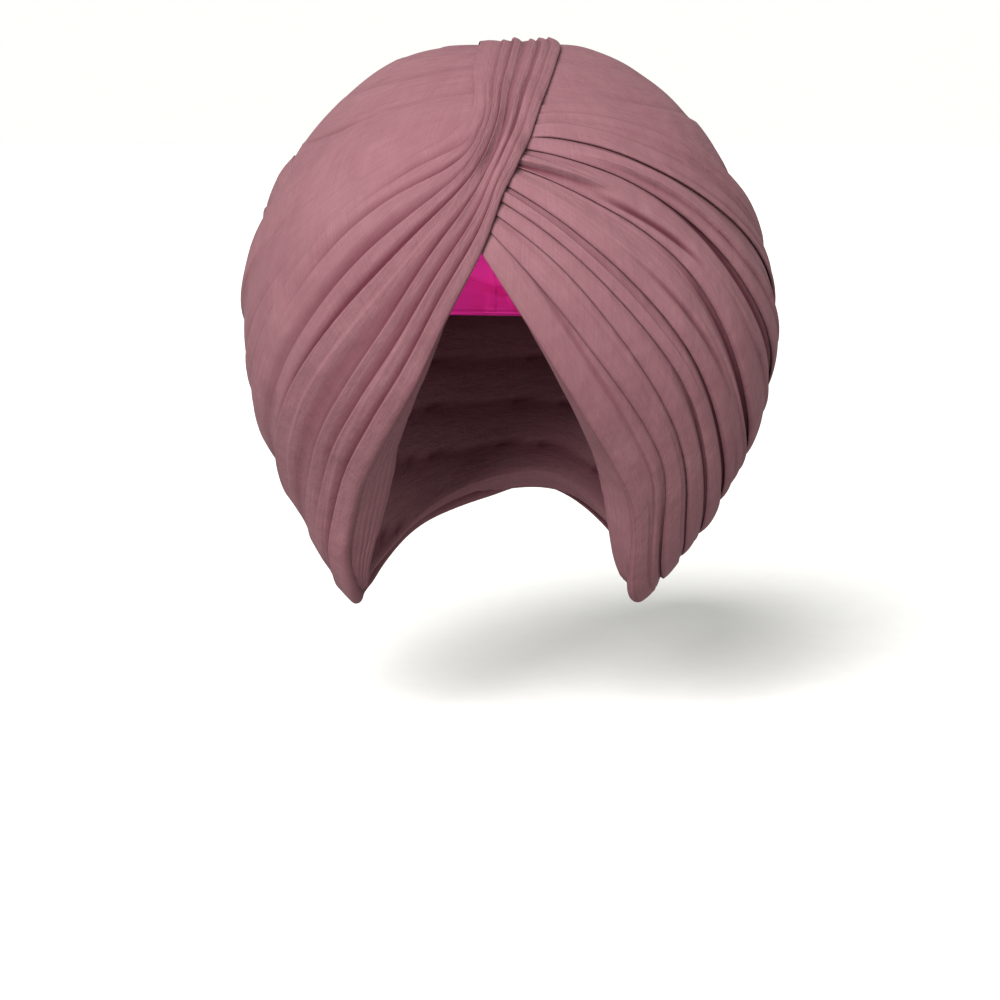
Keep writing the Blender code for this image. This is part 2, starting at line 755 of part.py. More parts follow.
class FinalTurn:
    """The last turn: right side, nape, left side in pleats, over the crown, tucked at the back."""

    def __init__(self):
        rows = np.asarray(FINAL_SECTIONS, float)
        lower = border_directions(rows[:, 0], rows[:, 1], FINAL_STEPS)
        upper = border_directions(rows[:, 2], rows[:, 3], FINAL_STEPS)
        lines = np.asarray(FINAL_LINES)
        unit = between(lower, upper, lines[:, 0])
        pleat = np.clip(smooth_rows(rows[:, 4], FINAL_STEPS), 0, 1)
        edge = np.clip(smooth_rows(rows[:, 5], FINAL_STEPS), 0, 1)
        fold = PLEAT_RISE * pleat[:, None] * lines[None, :, 1]
        self.sheet = Sheet(unit, fold, edge)
        self.sheet.rise = np.zeros(unit.shape[:2])
        self.crossing = FINAL_CROSSING * FINAL_STEPS
        self.tucked = FINAL_TUCKED * FINAL_STEPS

    def lay_tail(self, pile, material, collection):
        """Lays the end that is tucked at the back, before the turn that covers it."""
        self.sheet.lay(pile, self.tucked - 1)
        self.sheet.settle(pile, self.tucked - 1)
        tail = sheet_object("tail", self.sheet, material, collection, self.tucked)
        pile.add(tail)
        bpy.data.objects.remove(tail, do_unlink=True)

    def lay_start(self, pile, material, collection):
        """Lays the stretch from the front to the nape, which the rest later crosses."""
        self.sheet.lay(pile, 0, self.crossing + 1)
        self.sheet.settle(pile, 0, self.crossing + 1)
        start = sheet_object("start", self.sheet, material, collection, 0, self.crossing)
        pile.add(start)
        bpy.data.objects.remove(start, do_unlink=True)

    def make(self, pile, material, collection):
        """Lays the rest over everything and makes the one solid."""
        ends = [self.crossing, self.tucked - 1]
        joined = self.sheet.rise[ends]
        self.sheet.lay(pile, self.crossing, self.tucked)
        self.sheet.rise[ends] = np.maximum(joined, self.sheet.rise[ends])
        self.sheet.settle(pile, self.crossing, self.tucked)
        return sheet_object("final_turn", self.sheet, material, collection)


def main():
    """Builds the turban from the inside out."""
    clear_objects()
    collection = bpy.data.collections.new("turban")
    bpy.context.scene.collection.children.link(collection)
    cloth = make_material("turban cloth", CLOTH_COLOUR)
    inner = make_material("inner cloth", INNER_COLOUR)
    band = make_material("under band cloth", BAND_COLOUR)
    pile = Pile()
    pile.add(make_inner_turns(inner, collection))
    make_under_band(band, collection, pile)
    make_crown_cover(cloth, collection, pile)
    final = FinalTurn()
    for number, sections in enumerate(UPPER_TURNS, start=1):
        if number - 1 == CLOSED_UPPER_TURN:
            final.lay_tail(pile, cloth, collection)
        make_upper_turn(number, sections, cloth, collection, pile)
    for number in range(1, len(RIGHT_CREASES)):
        make_right_turn(number, cloth, collection, pile)
    final.lay_start(pile, cloth, collection)
    final.make(pile, cloth, collection)


main()
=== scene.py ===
"""Dresses the wound turban: every turn as fine cloth with its own folds, under soft studio light.

Metres, +Z up. The front of the turban is towards -Y. Places on the cloth are given, as in the part's
own source, by a bearing and an elevation in degrees seen from the middle of the wound body: bearing 0
is straight ahead (-Y), 90 is +X, 180 is the back, and elevation 90 is the top.
"""

import logging
import math
from dataclasses import dataclass, field
from enum import Enum

import bpy
import numpy as np
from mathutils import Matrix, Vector
from mathutils.bvhtree import BVHTree


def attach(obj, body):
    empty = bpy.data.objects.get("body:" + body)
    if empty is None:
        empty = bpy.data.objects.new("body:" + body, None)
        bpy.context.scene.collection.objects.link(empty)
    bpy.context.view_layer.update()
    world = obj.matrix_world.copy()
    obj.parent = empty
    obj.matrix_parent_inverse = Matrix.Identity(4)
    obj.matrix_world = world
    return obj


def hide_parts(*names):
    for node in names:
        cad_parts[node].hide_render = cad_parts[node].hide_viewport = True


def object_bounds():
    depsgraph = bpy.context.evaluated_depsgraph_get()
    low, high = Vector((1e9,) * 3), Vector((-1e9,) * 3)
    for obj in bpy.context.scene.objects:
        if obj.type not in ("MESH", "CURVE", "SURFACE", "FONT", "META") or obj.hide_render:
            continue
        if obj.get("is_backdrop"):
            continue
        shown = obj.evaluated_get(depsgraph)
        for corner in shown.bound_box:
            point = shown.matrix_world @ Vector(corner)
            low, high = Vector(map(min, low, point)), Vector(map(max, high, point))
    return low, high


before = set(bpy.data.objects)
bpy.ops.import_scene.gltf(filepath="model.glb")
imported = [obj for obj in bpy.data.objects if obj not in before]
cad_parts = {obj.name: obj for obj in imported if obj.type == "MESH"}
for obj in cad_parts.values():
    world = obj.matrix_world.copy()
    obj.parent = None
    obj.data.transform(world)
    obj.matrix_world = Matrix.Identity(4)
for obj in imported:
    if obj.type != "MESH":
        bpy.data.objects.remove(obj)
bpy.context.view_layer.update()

LOG = logging.getLogger("turban")

Colour = tuple[float, float, float]
Scale = tuple[float, float, float]
Span = tuple[float, float]
Rows = tuple[tuple[float, ...], ...]

BODY_CENTRE = np.array((0.0, 0.015, -0.005))
# Air between a turn and what it lies on
LAY_GAP = 0.0003
# Least divisors, which keep a quotient finite
LEAST_LENGTH = 1e-12
LEAST_SHARE = 1e-6

# Lower edge of the whole turban, all the way round
RIM_LINE: Rows = (
    # bearing, elevation
    (-75, -64),
    (-55, -54),
    (-38, -39),
    (-24, -25),
    (-14, -12),
    (-6, 3),
    (1, 16),
    (5, 11),
    (9, 3),
    (20, -14),
    (31, -28),
    (45, -43),
    (57, -54),
    (70, -61.5),
    (95, -63),
    (130, -60),
    (165, -57),
    (190, -59),
    (225, -61),
    (258, -64),
)

# The creases that sweep from the front over the right side, each the lower border of a turn
CREASE_BEARINGS = (20, 45, 70, 95, 130, 165, 195)
RIGHT_CREASES: Rows = (
    # first bearing, first elevation, then the elevation at each of CREASE_BEARINGS
    (-3, 21.0, -14.0, -43.0, -61.5, -63.0, -60.0, -55.0, -51.5),
    (-2, 24.0, 0.0, -29.0, -54.0, -59.0, -56.5, -52.0, -48.5),
    (-1, 26.0, 9.0, -21.0, -46.5, -54.5, -53.0, -49.0, -45.0),
    (0, 28.0, 14.0, -12.0, -40.0, -50.0, -49.0, -45.5, -42.0),
    (1, 31.0, 19.0, -4.5, -32.0, -43.5, -44.5, -42.0, -39.0),
    (3, 34.5, 28.0, 12.0, -18.0, -34.0, -39.5, -38.0, -36.0),
    (4, 37.5, 35.0, 24.5, 3.0, -17.0, -31.0, -33.0, -32.0),
    (5, 40.5, 40.0, 33.0, 20.5, 3.5, -20.0, -27.5, -28.0),
)

# The last turn: right side, low round the back, left side in pleats, over the crown and down the back
FINAL_SECTIONS: Rows = (
    # lower bearing, lower elevation, upper bearing, upper elevation, rim roll share
    (5, 39.5, 8, 46, 0.0),
    (20, 39, 20, 48, 0.0),
    (45, 32, 42, 47, 0.0),
    (70, 19.5, 66, 38.5, 0.0),
    (95, 2.5, 92, 25, 0.0),
    (125, -19, 125, 6, 0.0),
    (150, -36, 155, -9, 0.0),
    (170, -50, 180, -19, 0.0),
    (190, -59, 205, -27, 0.4),
    (225, -61, 230, -31, 1.0),
    (258, -64, 255, -32, 1.0),
    (285, -64, 275, -27, 1.0),
    (305, -54, 290, -15, 1.0),
    (322, -39, 307, 1, 1.0),
    (336, -25, 320, 15, 1.0),
    (346, -12, 331, 26, 1.0),
    (354, 3, 342, 34, 0.9),
    (361, 16, 351, 39.5, 0.1),
    (365, 26, 355.5, 44, 0.0),
    (370, 36, 356, 50, 0.0),
    (375, 47, 353, 58, 0.0),
    (384, 60, 350, 67, 0.0),
    (405, 73, 338, 78, 0.0),
    (450, 80, 270, 84, 0.0),
    (505, 72, 215, 76, 0.0),
    (521, 55, 203, 59, 0.0),
    (526, 37, 199, 39, 0.0),
    (528, 19, 197, 20, 0.0),
    (529, 2, 196, 2, 0.0),
    (530, -14, 195, -14, 0.0),
)

# The turns round the crown that pass beneath the last turn, innermost first
UPPER_TURNS: tuple[Rows, ...] = (
    (
        # lower bearing, lower elevation, upper bearing, upper elevation
        (100, 29, 100, 35),
        (114, 25, 114, 44),
        (136, 19, 136, 45),
        (180, 12, 180, 40),
        (230, 16, 230, 45),
        (262, 22, 262, 42),
        (280, 20, 280, 32),
        (292, 18, 292, 25),
    ),
    (
        (86, 27, 86, 33),
        (98, 21, 98, 39),
        (120, 11, 120, 34),
        (150, -3, 150, 23),
        (185, -10, 185, 17),
        (220, -12, 220, 20),
        (255, -2, 255, 33),
        (280, 8, 280, 36),
        (300, 16, 300, 30),
        (314, 20, 314, 28),
    ),
    (
        (0, 38, 0, 52),
        (25, 40, 25, 51),
        (58, 34, 58, 43),
        (90, 20, 90, 33),
        (120, 2, 120, 17),
        (150, -15, 150, 4),
        (180, -27, 180, -4),
        (210, -36, 210, -8),
        (240, -38, 240, -7),
        (270, -34, 270, 10),
        (302, -12, 302, 35),
        (335, 20, 335, 49),
        (360, 38, 360, 52),
    ),
)

# Edge of the cloth spread over the crown, and lower edge of the under band
CROWN_LINE: Rows = ((0, 44), (60, 38), (120, 30), (180, 28), (240, 28), (300, 30))
UNDER_BAND_LINE: Rows = (
    # bearing, elevation
    (0, 4.8),
    (60, 2),
    (100, -2),
    (140, -4),
    (180, -5),
    (220, -4),
    (260, -2),
    (300, 2),
)


# Curves and directions


def curve_through(keys: np.ndarray, values: np.ndarray, at: np.ndarray) -> np.ndarray:
    """Reads a smooth cubic through rows of values.

    Args:
        keys: rising places of the rows.
        values: one row for each key.
        at: places to read.

    Returns:
        The curve's values at those places.
    """
    keys = np.asarray(keys, float)
    values = np.asarray(values, float)
    at = np.clip(np.asarray(at, float), keys[0], keys[-1])
    slopes = np.gradient(values, keys, axis=0)
    cell = np.clip(np.searchsorted(keys, at, side="right") - 1, 0, len(keys) - 2)
    width = keys[cell + 1] - keys[cell]
    share = (at - keys[cell]) / width
    if values.ndim > 1:
        share = share[..., None]
        width = width[..., None]
    start = (2 * share**3 - 3 * share**2 + 1) * values[cell]
    start_slope = (share**3 - 2 * share**2 + share) * width * slopes[cell]
    end = (3 * share**2 - 2 * share**3) * values[cell + 1]
    end_slope = (share**3 - share**2) * width * slopes[cell + 1]
    return start + start_slope + end + end_slope


def closed_curve(rows: Rows, bearings: np.ndarray) -> np.ndarray:
    """Reads a closed line of bearings and elevations.

    Args:
        rows: the line's bearings and elevations.
        bearings: where to read it, in degrees.

    Returns:
        The elevations there, in degrees.
    """
    table = np.asarray(rows, float)
    keys = np.concatenate((table[:, 0] - 360, table[:, 0], table[:, 0] + 360))
    turned = (np.asarray(bearings, float) - table[0, 0]) % 360 + table[0, 0]
    return curve_through(keys, np.tile(table[:, 1], 3), turned)


def unit_direction(bearing: np.ndarray, elevation: np.ndarray) -> np.ndarray:
    """Unit vectors that point in given directions.

    Args:
        bearing: bearings in degrees.
        elevation: elevations in degrees.

    Returns:
        The unit vectors, along a new last axis.
    """
    bearing = np.radians(np.asarray(bearing, float))
    elevation = np.radians(np.asarray(elevation, float))
    flat = np.cos(elevation)
    return np.stack((np.sin(bearing) * flat, -np.cos(bearing) * flat, np.sin(elevation)), axis=-1)


def unit_vectors(vectors: np.ndarray) -> np.ndarray:
    """The same vectors with a length of one."""
    return vectors / np.maximum(np.linalg.norm(vectors, axis=-1, keepdims=True), LEAST_LENGTH)


def between(lower: np.ndarray, upper: np.ndarray, shares: np.ndarray) -> np.ndarray:
    """Directions between two borders, along the shortest way from one to the other.

    Args:
        lower: unit vectors along the lower border.
        upper: unit vectors along the upper border.
        shares: shares of the way across, one list for all rows or one for each.

    Returns:
        A grid of unit vectors, rows along the borders and columns across.
    """
    turn = np.arccos(np.clip(np.sum(lower * upper, axis=-1), -1, 1))[:, None, None]
    shares = np.asarray(shares, float)
    if shares.ndim == 1:
        shares = np.tile(shares, (lower.shape[0], 1))
    shares = shares[:, :, None]
    mixed = np.sin((1 - shares) * turn) * lower[:, None] + np.sin(shares * turn) * upper[:, None]
    return unit_vectors(mixed)


def smooth_rows(rows: np.ndarray, steps: int, closed: bool = False) -> np.ndarray:
    """Reads rows of values as a smooth curve.

    Args:
        rows: one row of values for each station.
        steps: places to each station.
        closed: whether the last row is the first one again.

    Returns:
        The values at every place.
    """
    rows = np.asarray(rows, float)
    at = np.linspace(0, len(rows) - 1, (len(rows) - 1) * steps + 1)
    if closed:
        rows = np.concatenate((rows[-3:-1], rows, rows[1:3]))
        return curve_through(np.arange(-2, len(rows) - 2), rows, at)
    return curve_through(np.arange(len(rows)), rows, at)


def border_line(
    bearings: np.ndarray, elevations: np.ndarray, steps: int, closed: bool = False
) -> np.ndarray:
    """Unit vectors along a border that runs smoothly through its stations."""
    return unit_vectors(smooth_rows(unit_direction(bearings, elevations), steps, closed))


def smooth_step(low: float, high: float, value: np.ndarray) -> np.ndarray:
    """Rises smoothly from 0 at low to 1 at high."""
    share = np.clip((value - low) / (high - low), 0, 1)
    return share * share * (3 - 2 * share)


def windows(grid: np.ndarray, reach: int, axis: int, wrap: bool) -> np.ndarray:
    """Gathers the values beside each place of a grid.

    Args:
        grid: the values.
        reach: how many places to each side.
        axis: the axis along which to look.
        wrap: whether the grid goes on from its end to its start.

    Returns:
        The grid, with the values beside each place along a new last axis.
    """
    pad = [(reach, reach) if number == axis else (0, 0) for number in range(grid.ndim)]
    padded = np.pad(grid, pad, mode="wrap" if wrap else "edge")
    return np.lib.stride_tricks.sliding_window_view(padded, 2 * reach + 1, axis)


def window_most(grid: np.ndarray, reach: int, axis: int, wrap: bool = False) -> np.ndarray:
    """Greatest value within reach places along an axis."""
    return windows(grid, reach, axis, wrap).max(-1)


def window_mean(grid: np.ndarray, reach: int, axis: int, wrap: bool = False) -> np.ndarray:
    """Mean of the values within reach places along an axis."""
    return windows(grid, reach, axis, wrap).mean(-1)


# The wound body


@dataclass(frozen=True)
class WoundBody:
    """The shape beneath the turns: a rounded body round an open hollow."""

    # How far the outside and the hollow reach from the centre, in metres
    half_width: float = 0.1225
    front_reach: float = 0.1235
    back_reach: float = 0.1300
    top_rise: float = 0.1215
    hollow_half_width: float = 0.0780
    hollow_front: float = 0.1150
    hollow_back: float = 0.0860
    hollow_top: float = 0.0980
    wall_least: float = 0.0050
    # How far the rim is drawn back at the outside, and how much further at the hollow
    rim_recess: float = 0.0060
    rim_slant: float = 0.0090
    # Degrees between the places that give the slope of the rim
    slope_step: float = 1.0
    # Share of the downward part that the lift keeps below the middle
    level_lift: float = 0.3
    # The body leans this far to one side, from and to these depths below the centre
    lean: float = 0.0055
    lean_from: float = 0.060
    lean_full: float = 0.130
    # Shares of the reach by elevation: to the sides, ahead and behind
    shape: Rows = (
        # elevation, side, front, back
        (-66, 1.290, 1.080, 0.900),
        (-55, 1.180, 1.000, 0.930),
        (-46, 1.108, 0.945, 0.950),
        (-37, 1.066, 0.930, 0.965),
        (-28, 1.042, 0.935, 0.980),
        (-15, 1.020, 0.965, 0.995),
        (0, 1.008, 1.000, 1.000),
        (15, 0.992, 1.040, 1.003),
        (30, 0.986, 1.055, 1.003),
        (50, 1.015, 1.050, 1.000),
        (70, 1.040, 1.036, 1.000),
        (90, 1.006, 1.006, 1.000),
    )
    hollow_shape: Rows = (
        (-64, 1.700, 1.000, 1.150),
        (-53, 1.400, 0.940, 1.080),
        (-44, 1.220, 0.920, 1.040),
        (-30, 1.080, 0.940, 1.000),
        (-15, 1.010, 0.975, 0.990),
        (0, 1.000, 1.000, 1.000),
        (20, 0.990, 0.985, 1.020),
        (45, 0.960, 0.930, 1.010),
        (70, 0.970, 0.960, 0.990),
        (90, 1.000, 1.000, 1.000),
    )

    def _shaped(
        self, unit: np.ndarray, table: Rows, side: float, front: float, back: float, top: float
    ) -> np.ndarray:
        """Places unit directions on a rounded body with its own reach to each side.

        Args:
            unit: the directions.
            table: shares of the reach by elevation, as rows of elevation, side, front and back.
            side: reach to each side, in metres.
            front: reach ahead.
            back: reach behind.
            top: reach up and down.

        Returns:
            Vectors from the centre to the body.
        """
        flat = np.hypot(unit[..., 0], unit[..., 1])
        elevation = np.degrees(np.arctan2(unit[..., 2], flat))
        keys = np.array([row[0] for row in table])
        shares = curve_through(keys, np.array([row[1:] for row in table]), elevation)
        turn = np.arctan2(unit[..., 0], unit[..., 1])
        across = np.sin(turn)
        along = np.cos(turn)
        ahead = np.where(along < 0, shares[..., 1], shares[..., 2])
        share = 1 / np.sqrt((across / shares[..., 0]) ** 2 + (along / ahead) ** 2)
        depth = np.where(along < 0, front, back)
        scale = np.stack((np.full_like(share, side), depth, np.full_like(share, top)), axis=-1)
        placed = unit * scale * share[..., None]
        placed[..., 0] -= self.lean * smooth_step(self.lean_from, self.lean_full, -placed[..., 2])
        return placed

    def outside(self, unit: np.ndarray) -> np.ndarray:
        """Vectors from the centre to the outside of the inner turns."""
        return self._shaped(
            unit, self.shape, self.half_width, self.front_reach, self.back_reach, self.top_rise
        )

    def hollow(self, unit: np.ndarray) -> np.ndarray:
        """Finds the wall of the hollow.

        Args:
            unit: directions from the centre.

        Returns:
            Vectors from the centre to the wall, which never come within wall_least of the outside.
        """
        outside = np.linalg.norm(self.outside(unit), axis=-1)
        inside = self._shaped(
            unit,
            self.hollow_shape,
            self.hollow_half_width,
            self.hollow_front,
            self.hollow_back,
            self.hollow_top,
        )
        length = np.linalg.norm(inside, axis=-1)
        return inside * (np.minimum(length, outside - self.wall_least) / length)[..., None]

    def lift(self, unit: np.ndarray) -> np.ndarray:
        """The way a turn rises from the body: outwards, and level where the wall stands steep."""
        steep = np.where(unit[..., 2:] < 0, self.level_lift, 1.0)
        return unit_vectors(unit * np.concatenate((np.ones_like(unit[..., :2]), steep), axis=-1))

    def rim(self, bearings: np.ndarray, drawn_back: float) -> np.ndarray:
        """Finds the lower edge of the body, inside the turns that roll round it.

        Args:
            bearings: where to find it, in degrees.
            drawn_back: how far it lies inside the rim line, in metres.

        Returns:
            The elevations there, in degrees.
        """
        line = closed_curve(RIM_LINE, bearings)
        ahead = closed_curve(RIM_LINE, bearings + self.slope_step)
        behind = closed_curve(RIM_LINE, bearings - self.slope_step)
        slope = np.maximum(abs(ahead - line), abs(line - behind)) / self.slope_step
        slope = slope * np.cos(np.radians(line))
        return line + np.degrees(drawn_back / self.half_width) * np.sqrt(1 + slope**2)


class Pile:
    """The cloth laid so far, as one surface that the next turn is laid on."""

    # Highest that the pile stands over the body, and a length past its farthest wall
    REACH = 0.04
    FAR = 1.0

    def __init__(self) -> None:
        """Starts with no cloth."""
        self.points: list[tuple[float, ...]] = []
        self.faces: list[tuple[int, ...]] = []
        self.tree: BVHTree | None = None

    def add(self, points: np.ndarray, faces: np.ndarray) -> None:
        """Adds laid cloth.

        Args:
            points: the points of the cloth.
            faces: its quads, as numbers of those points.
        """
        first = len(self.points)
        self.points += [tuple(point) for point in points.reshape(-1, 3).tolist()]
        self.faces += [tuple(face) for face in (faces + first).tolist()]
        self.tree = BVHTree.FromPolygons(self.points, self.faces)

    def heights(self, points: np.ndarray, lift: np.ndarray) -> np.ndarray:
        """Measures how far the pile stands over points.

        Args:
            points: the points.
            lift: the way in which to measure from each, as unit vectors.

        Returns:
            The height over each point, or 0 where the pile lies lower.
        """
        found = np.zeros(points.shape[:-1])
        starts = points + lift * self.REACH
        for place in np.ndindex(found.shape):
            ray = Vector(lift[place])
            hit = self.tree.ray_cast(Vector(starts[place]), -ray, self.REACH)[0]
            if hit is not None:
                found[place] = max(0.0, (hit - Vector(points[place])).dot(ray))
        return found

    def walls(self, reach: np.ndarray, least: float) -> np.ndarray:
        """Measures how far the first wall of the pile is from the centre.

        Args:
            reach: vectors from the centre.
            least: the distance where no wall is met.

        Returns:
            The distance along each vector.
        """
        found = np.full(reach.shape[:-1], least)
        centre = Vector(BODY_CENTRE)
        for place in np.ndindex(found.shape):
            ray = Vector(reach[place]).normalized()
            hit = self.tree.ray_cast(centre, ray, self.FAR)[0]
            if hit is not None:
                found[place] = (hit - centre).length
        return found


# Folds


class FoldKind(Enum):
    """How the cloth stands beside a fold line."""

    PLEAT_UP = "rises slowly towards the upper border, then drops"
    PLEAT_DOWN = "rises slowly towards the lower border, then drops"
    HOLLOW = "a soft furrow"
    ROLL = "a soft ridge"


@dataclass(frozen=True)
class Fold:
    """One fold of a turn, along a smooth line through places on it.

    Each place is a station along the turn and a share of the way across from the lower border.
    Height and width are shares of the turn's own fold height and fold width, and fade is the share
    of the fold's length over which it rises at its start and dies away at its end.
    """

    kind: FoldKind
    line: tuple[tuple[float, float], ...]
    height: float = 1.0
    width: float = 1.0
    fade: Span = (0.15, 0.15)
    # How far the cloth beside a pleat's step dips, as a share of the pleat's height
    dip: float = 0.35

    def relief(
        self,
        station: np.ndarray,
        share: np.ndarray,
        across: np.ndarray,
        height: np.ndarray,
        width: np.ndarray,
        drop: np.ndarray,
    ) -> np.ndarray:
        """Works out the height that the fold adds.

        Args:
            station: station of each row.
            share: share across, for each column.
            across: width of the turn at each row, in metres.
            height: height of a fold with a share of 1 at each row, in metres.
            width: width of a fold with a share of 1 at each row, in metres.
            drop: how far a pleat's step runs at each row, in metres.

        Returns:
            The relief over the grid, in metres.
        """
        places = np.asarray(self.line, float)
        first, last = places[0, 0], places[-1, 0]
        way = (station - first) / (last - first)
        line = curve_through(places[:, 0], places[:, 1], station)
        fade = smooth_step(0, max(self.fade[0], LEAST_SHARE), way)
        fade = fade * (1 - smooth_step(1 - max(self.fade[1], LEAST_SHARE), 1, way))
        away = (share[None, :] - line[:, None]) * across[:, None]
        if self.kind is FoldKind.PLEAT_DOWN:
            away = -away
        spread = (width * self.width)[:, None]
        run = drop[:, None]
        if self.kind in (FoldKind.PLEAT_UP, FoldKind.PLEAT_DOWN):
            rise = np.exp(np.minimum(away, 0) / spread) * (1 - smooth_step(0, run, away))
            dip = self.dip * smooth_step(0, run, away) * np.exp(-np.maximum(away - run, 0) / spread)
            shape = rise - dip
        else:
            shape = np.exp(-((away / spread) ** 2))
            if self.kind is FoldKind.HOLLOW:
                shape = -shape
        return (height * self.height * fade)[:, None] * shape


@dataclass(frozen=True)
class StrayRanges:
    """Ranges from which the stray folds are drawn."""

    # Shares of the turn's length
    start: Span = (-0.1, 0.75)
    length: Span = (0.25, 0.6)
    # Shares of the turn's width: of the first end, of how far the rest wanders, and the limits
    place: Span = (0.08, 0.92)
    wander: Span = (-0.22, 0.22)
    bend: Span = (-0.06, 0.06)
    limits: Span = (0.04, 0.96)
    # Shares of the asked height, of the turn's fold width, and of the fold's own length
    height: Span = (0.4, 1.0)
    width: Span = (0.5, 1.6)
    fade: Span = (0.35, 0.35)


STRAYS = StrayRanges()


def stray_folds(seed: int, stations: float, count: int, height: float) -> list[Fold]:
    """Draws soft folds that wander along a turn, the same ones on every run.

    Args:
        seed: chooses the set.
        stations: how many stations the turn has.
        count: how many folds to make.
        height: their height as a share of the turn's fold height.

    Returns:
        The folds.
    """
    draw = np.random.default_rng(seed)
    folds = []
    for _ in range(count):
        kind = draw.choice(list(FoldKind))
        first = draw.uniform(*STRAYS.start) * stations
        last = first + draw.uniform(*STRAYS.length) * stations
        low = draw.uniform(*STRAYS.place)
        high = np.clip(low + draw.uniform(*STRAYS.wander), *STRAYS.limits)
        middle = np.clip((low + high) / 2 + draw.uniform(*STRAYS.bend), *STRAYS.limits)
        line = ((first, low), ((first + last) / 2, middle), (last, high))
        tall = height * draw.uniform(*STRAYS.height)
        folds.append(Fold(kind, line, tall, draw.uniform(*STRAYS.width), STRAYS.fade))
    return folds


# Meshes


def grid_quads(rows: int, columns: int, closed: bool = False) -> np.ndarray:
    """Joins a grid of points, listed row by row, with quads that face out where columns run upwards.

    Args:
        rows: how many rows the grid has.
        columns: how many columns it has.
        closed: whether the last row joins the first one.

    Returns:
        The quads, as numbers of points.
    """
    row = np.arange(rows if closed else rows - 1)[:, None]
    column = np.arange(columns - 1)[None, :]
    here = row * columns + column
    after = (row + 1) % rows * columns + column
    return np.stack((here, after, after + 1, here + 1), axis=-1).reshape(-1, 4)


def mesh_object(name: str, points: np.ndarray, faces: list[list[int]]) -> bpy.types.Object:
    """Makes a smooth-shaded object.

    Args:
        name: the object's name.
        points: its points, in a grid or a list.
        faces: its faces, as numbers of points.

    Returns:
        The object, which is in the scene.
    """
    mesh = bpy.data.meshes.new(name)
    mesh.from_pydata(points.reshape(-1, 3).tolist(), [], faces)
    mesh.update()
    mesh.shade_smooth()
    made = bpy.data.objects.new(name, mesh)
    bpy.context.scene.collection.objects.link(made)
    return made


def mesh_area(made: bpy.types.Object) -> float:
    """Area of an object's faces in square metres."""
    return sum(face.area for face in made.data.polygons)


def distances_across(points: np.ndarray) -> np.ndarray:
    """Mean distance of each column of a grid of points from the first one, the same in every row."""
    gaps = np.linalg.norm(np.diff(points, axis=1), axis=-1).mean(axis=0)
    return np.tile(np.concatenate(((0.0,), np.cumsum(gaps))), (len(points), 1))


def write_threads(made: bpy.types.Object, along: np.ndarray, across: np.ndarray) -> None:
    """Keeps how far each point lies along and across its cloth, for the weave.

    Args:
        made: the object.
        along: metres along the cloth, one value for each point.
        across: metres across it.
    """
    layer = made.data.attributes.new("threads", "FLOAT_VECTOR", "POINT")
    values = np.stack((along.ravel(), across.ravel(), np.zeros(along.size)), axis=-1)
    layer.data.foreach_set("vector", values.ravel().astype(np.float32))


def write_painted_shade(made: bpy.types.Object, depth: np.ndarray) -> None:
    """Keeps how deep each point lies in a fold, from 0 to 1, for the painted shade in the creases."""
    layer = made.data.attributes.new("depth", "FLOAT", "POINT")
    layer.data.foreach_set("value", depth.ravel().astype(np.float32))


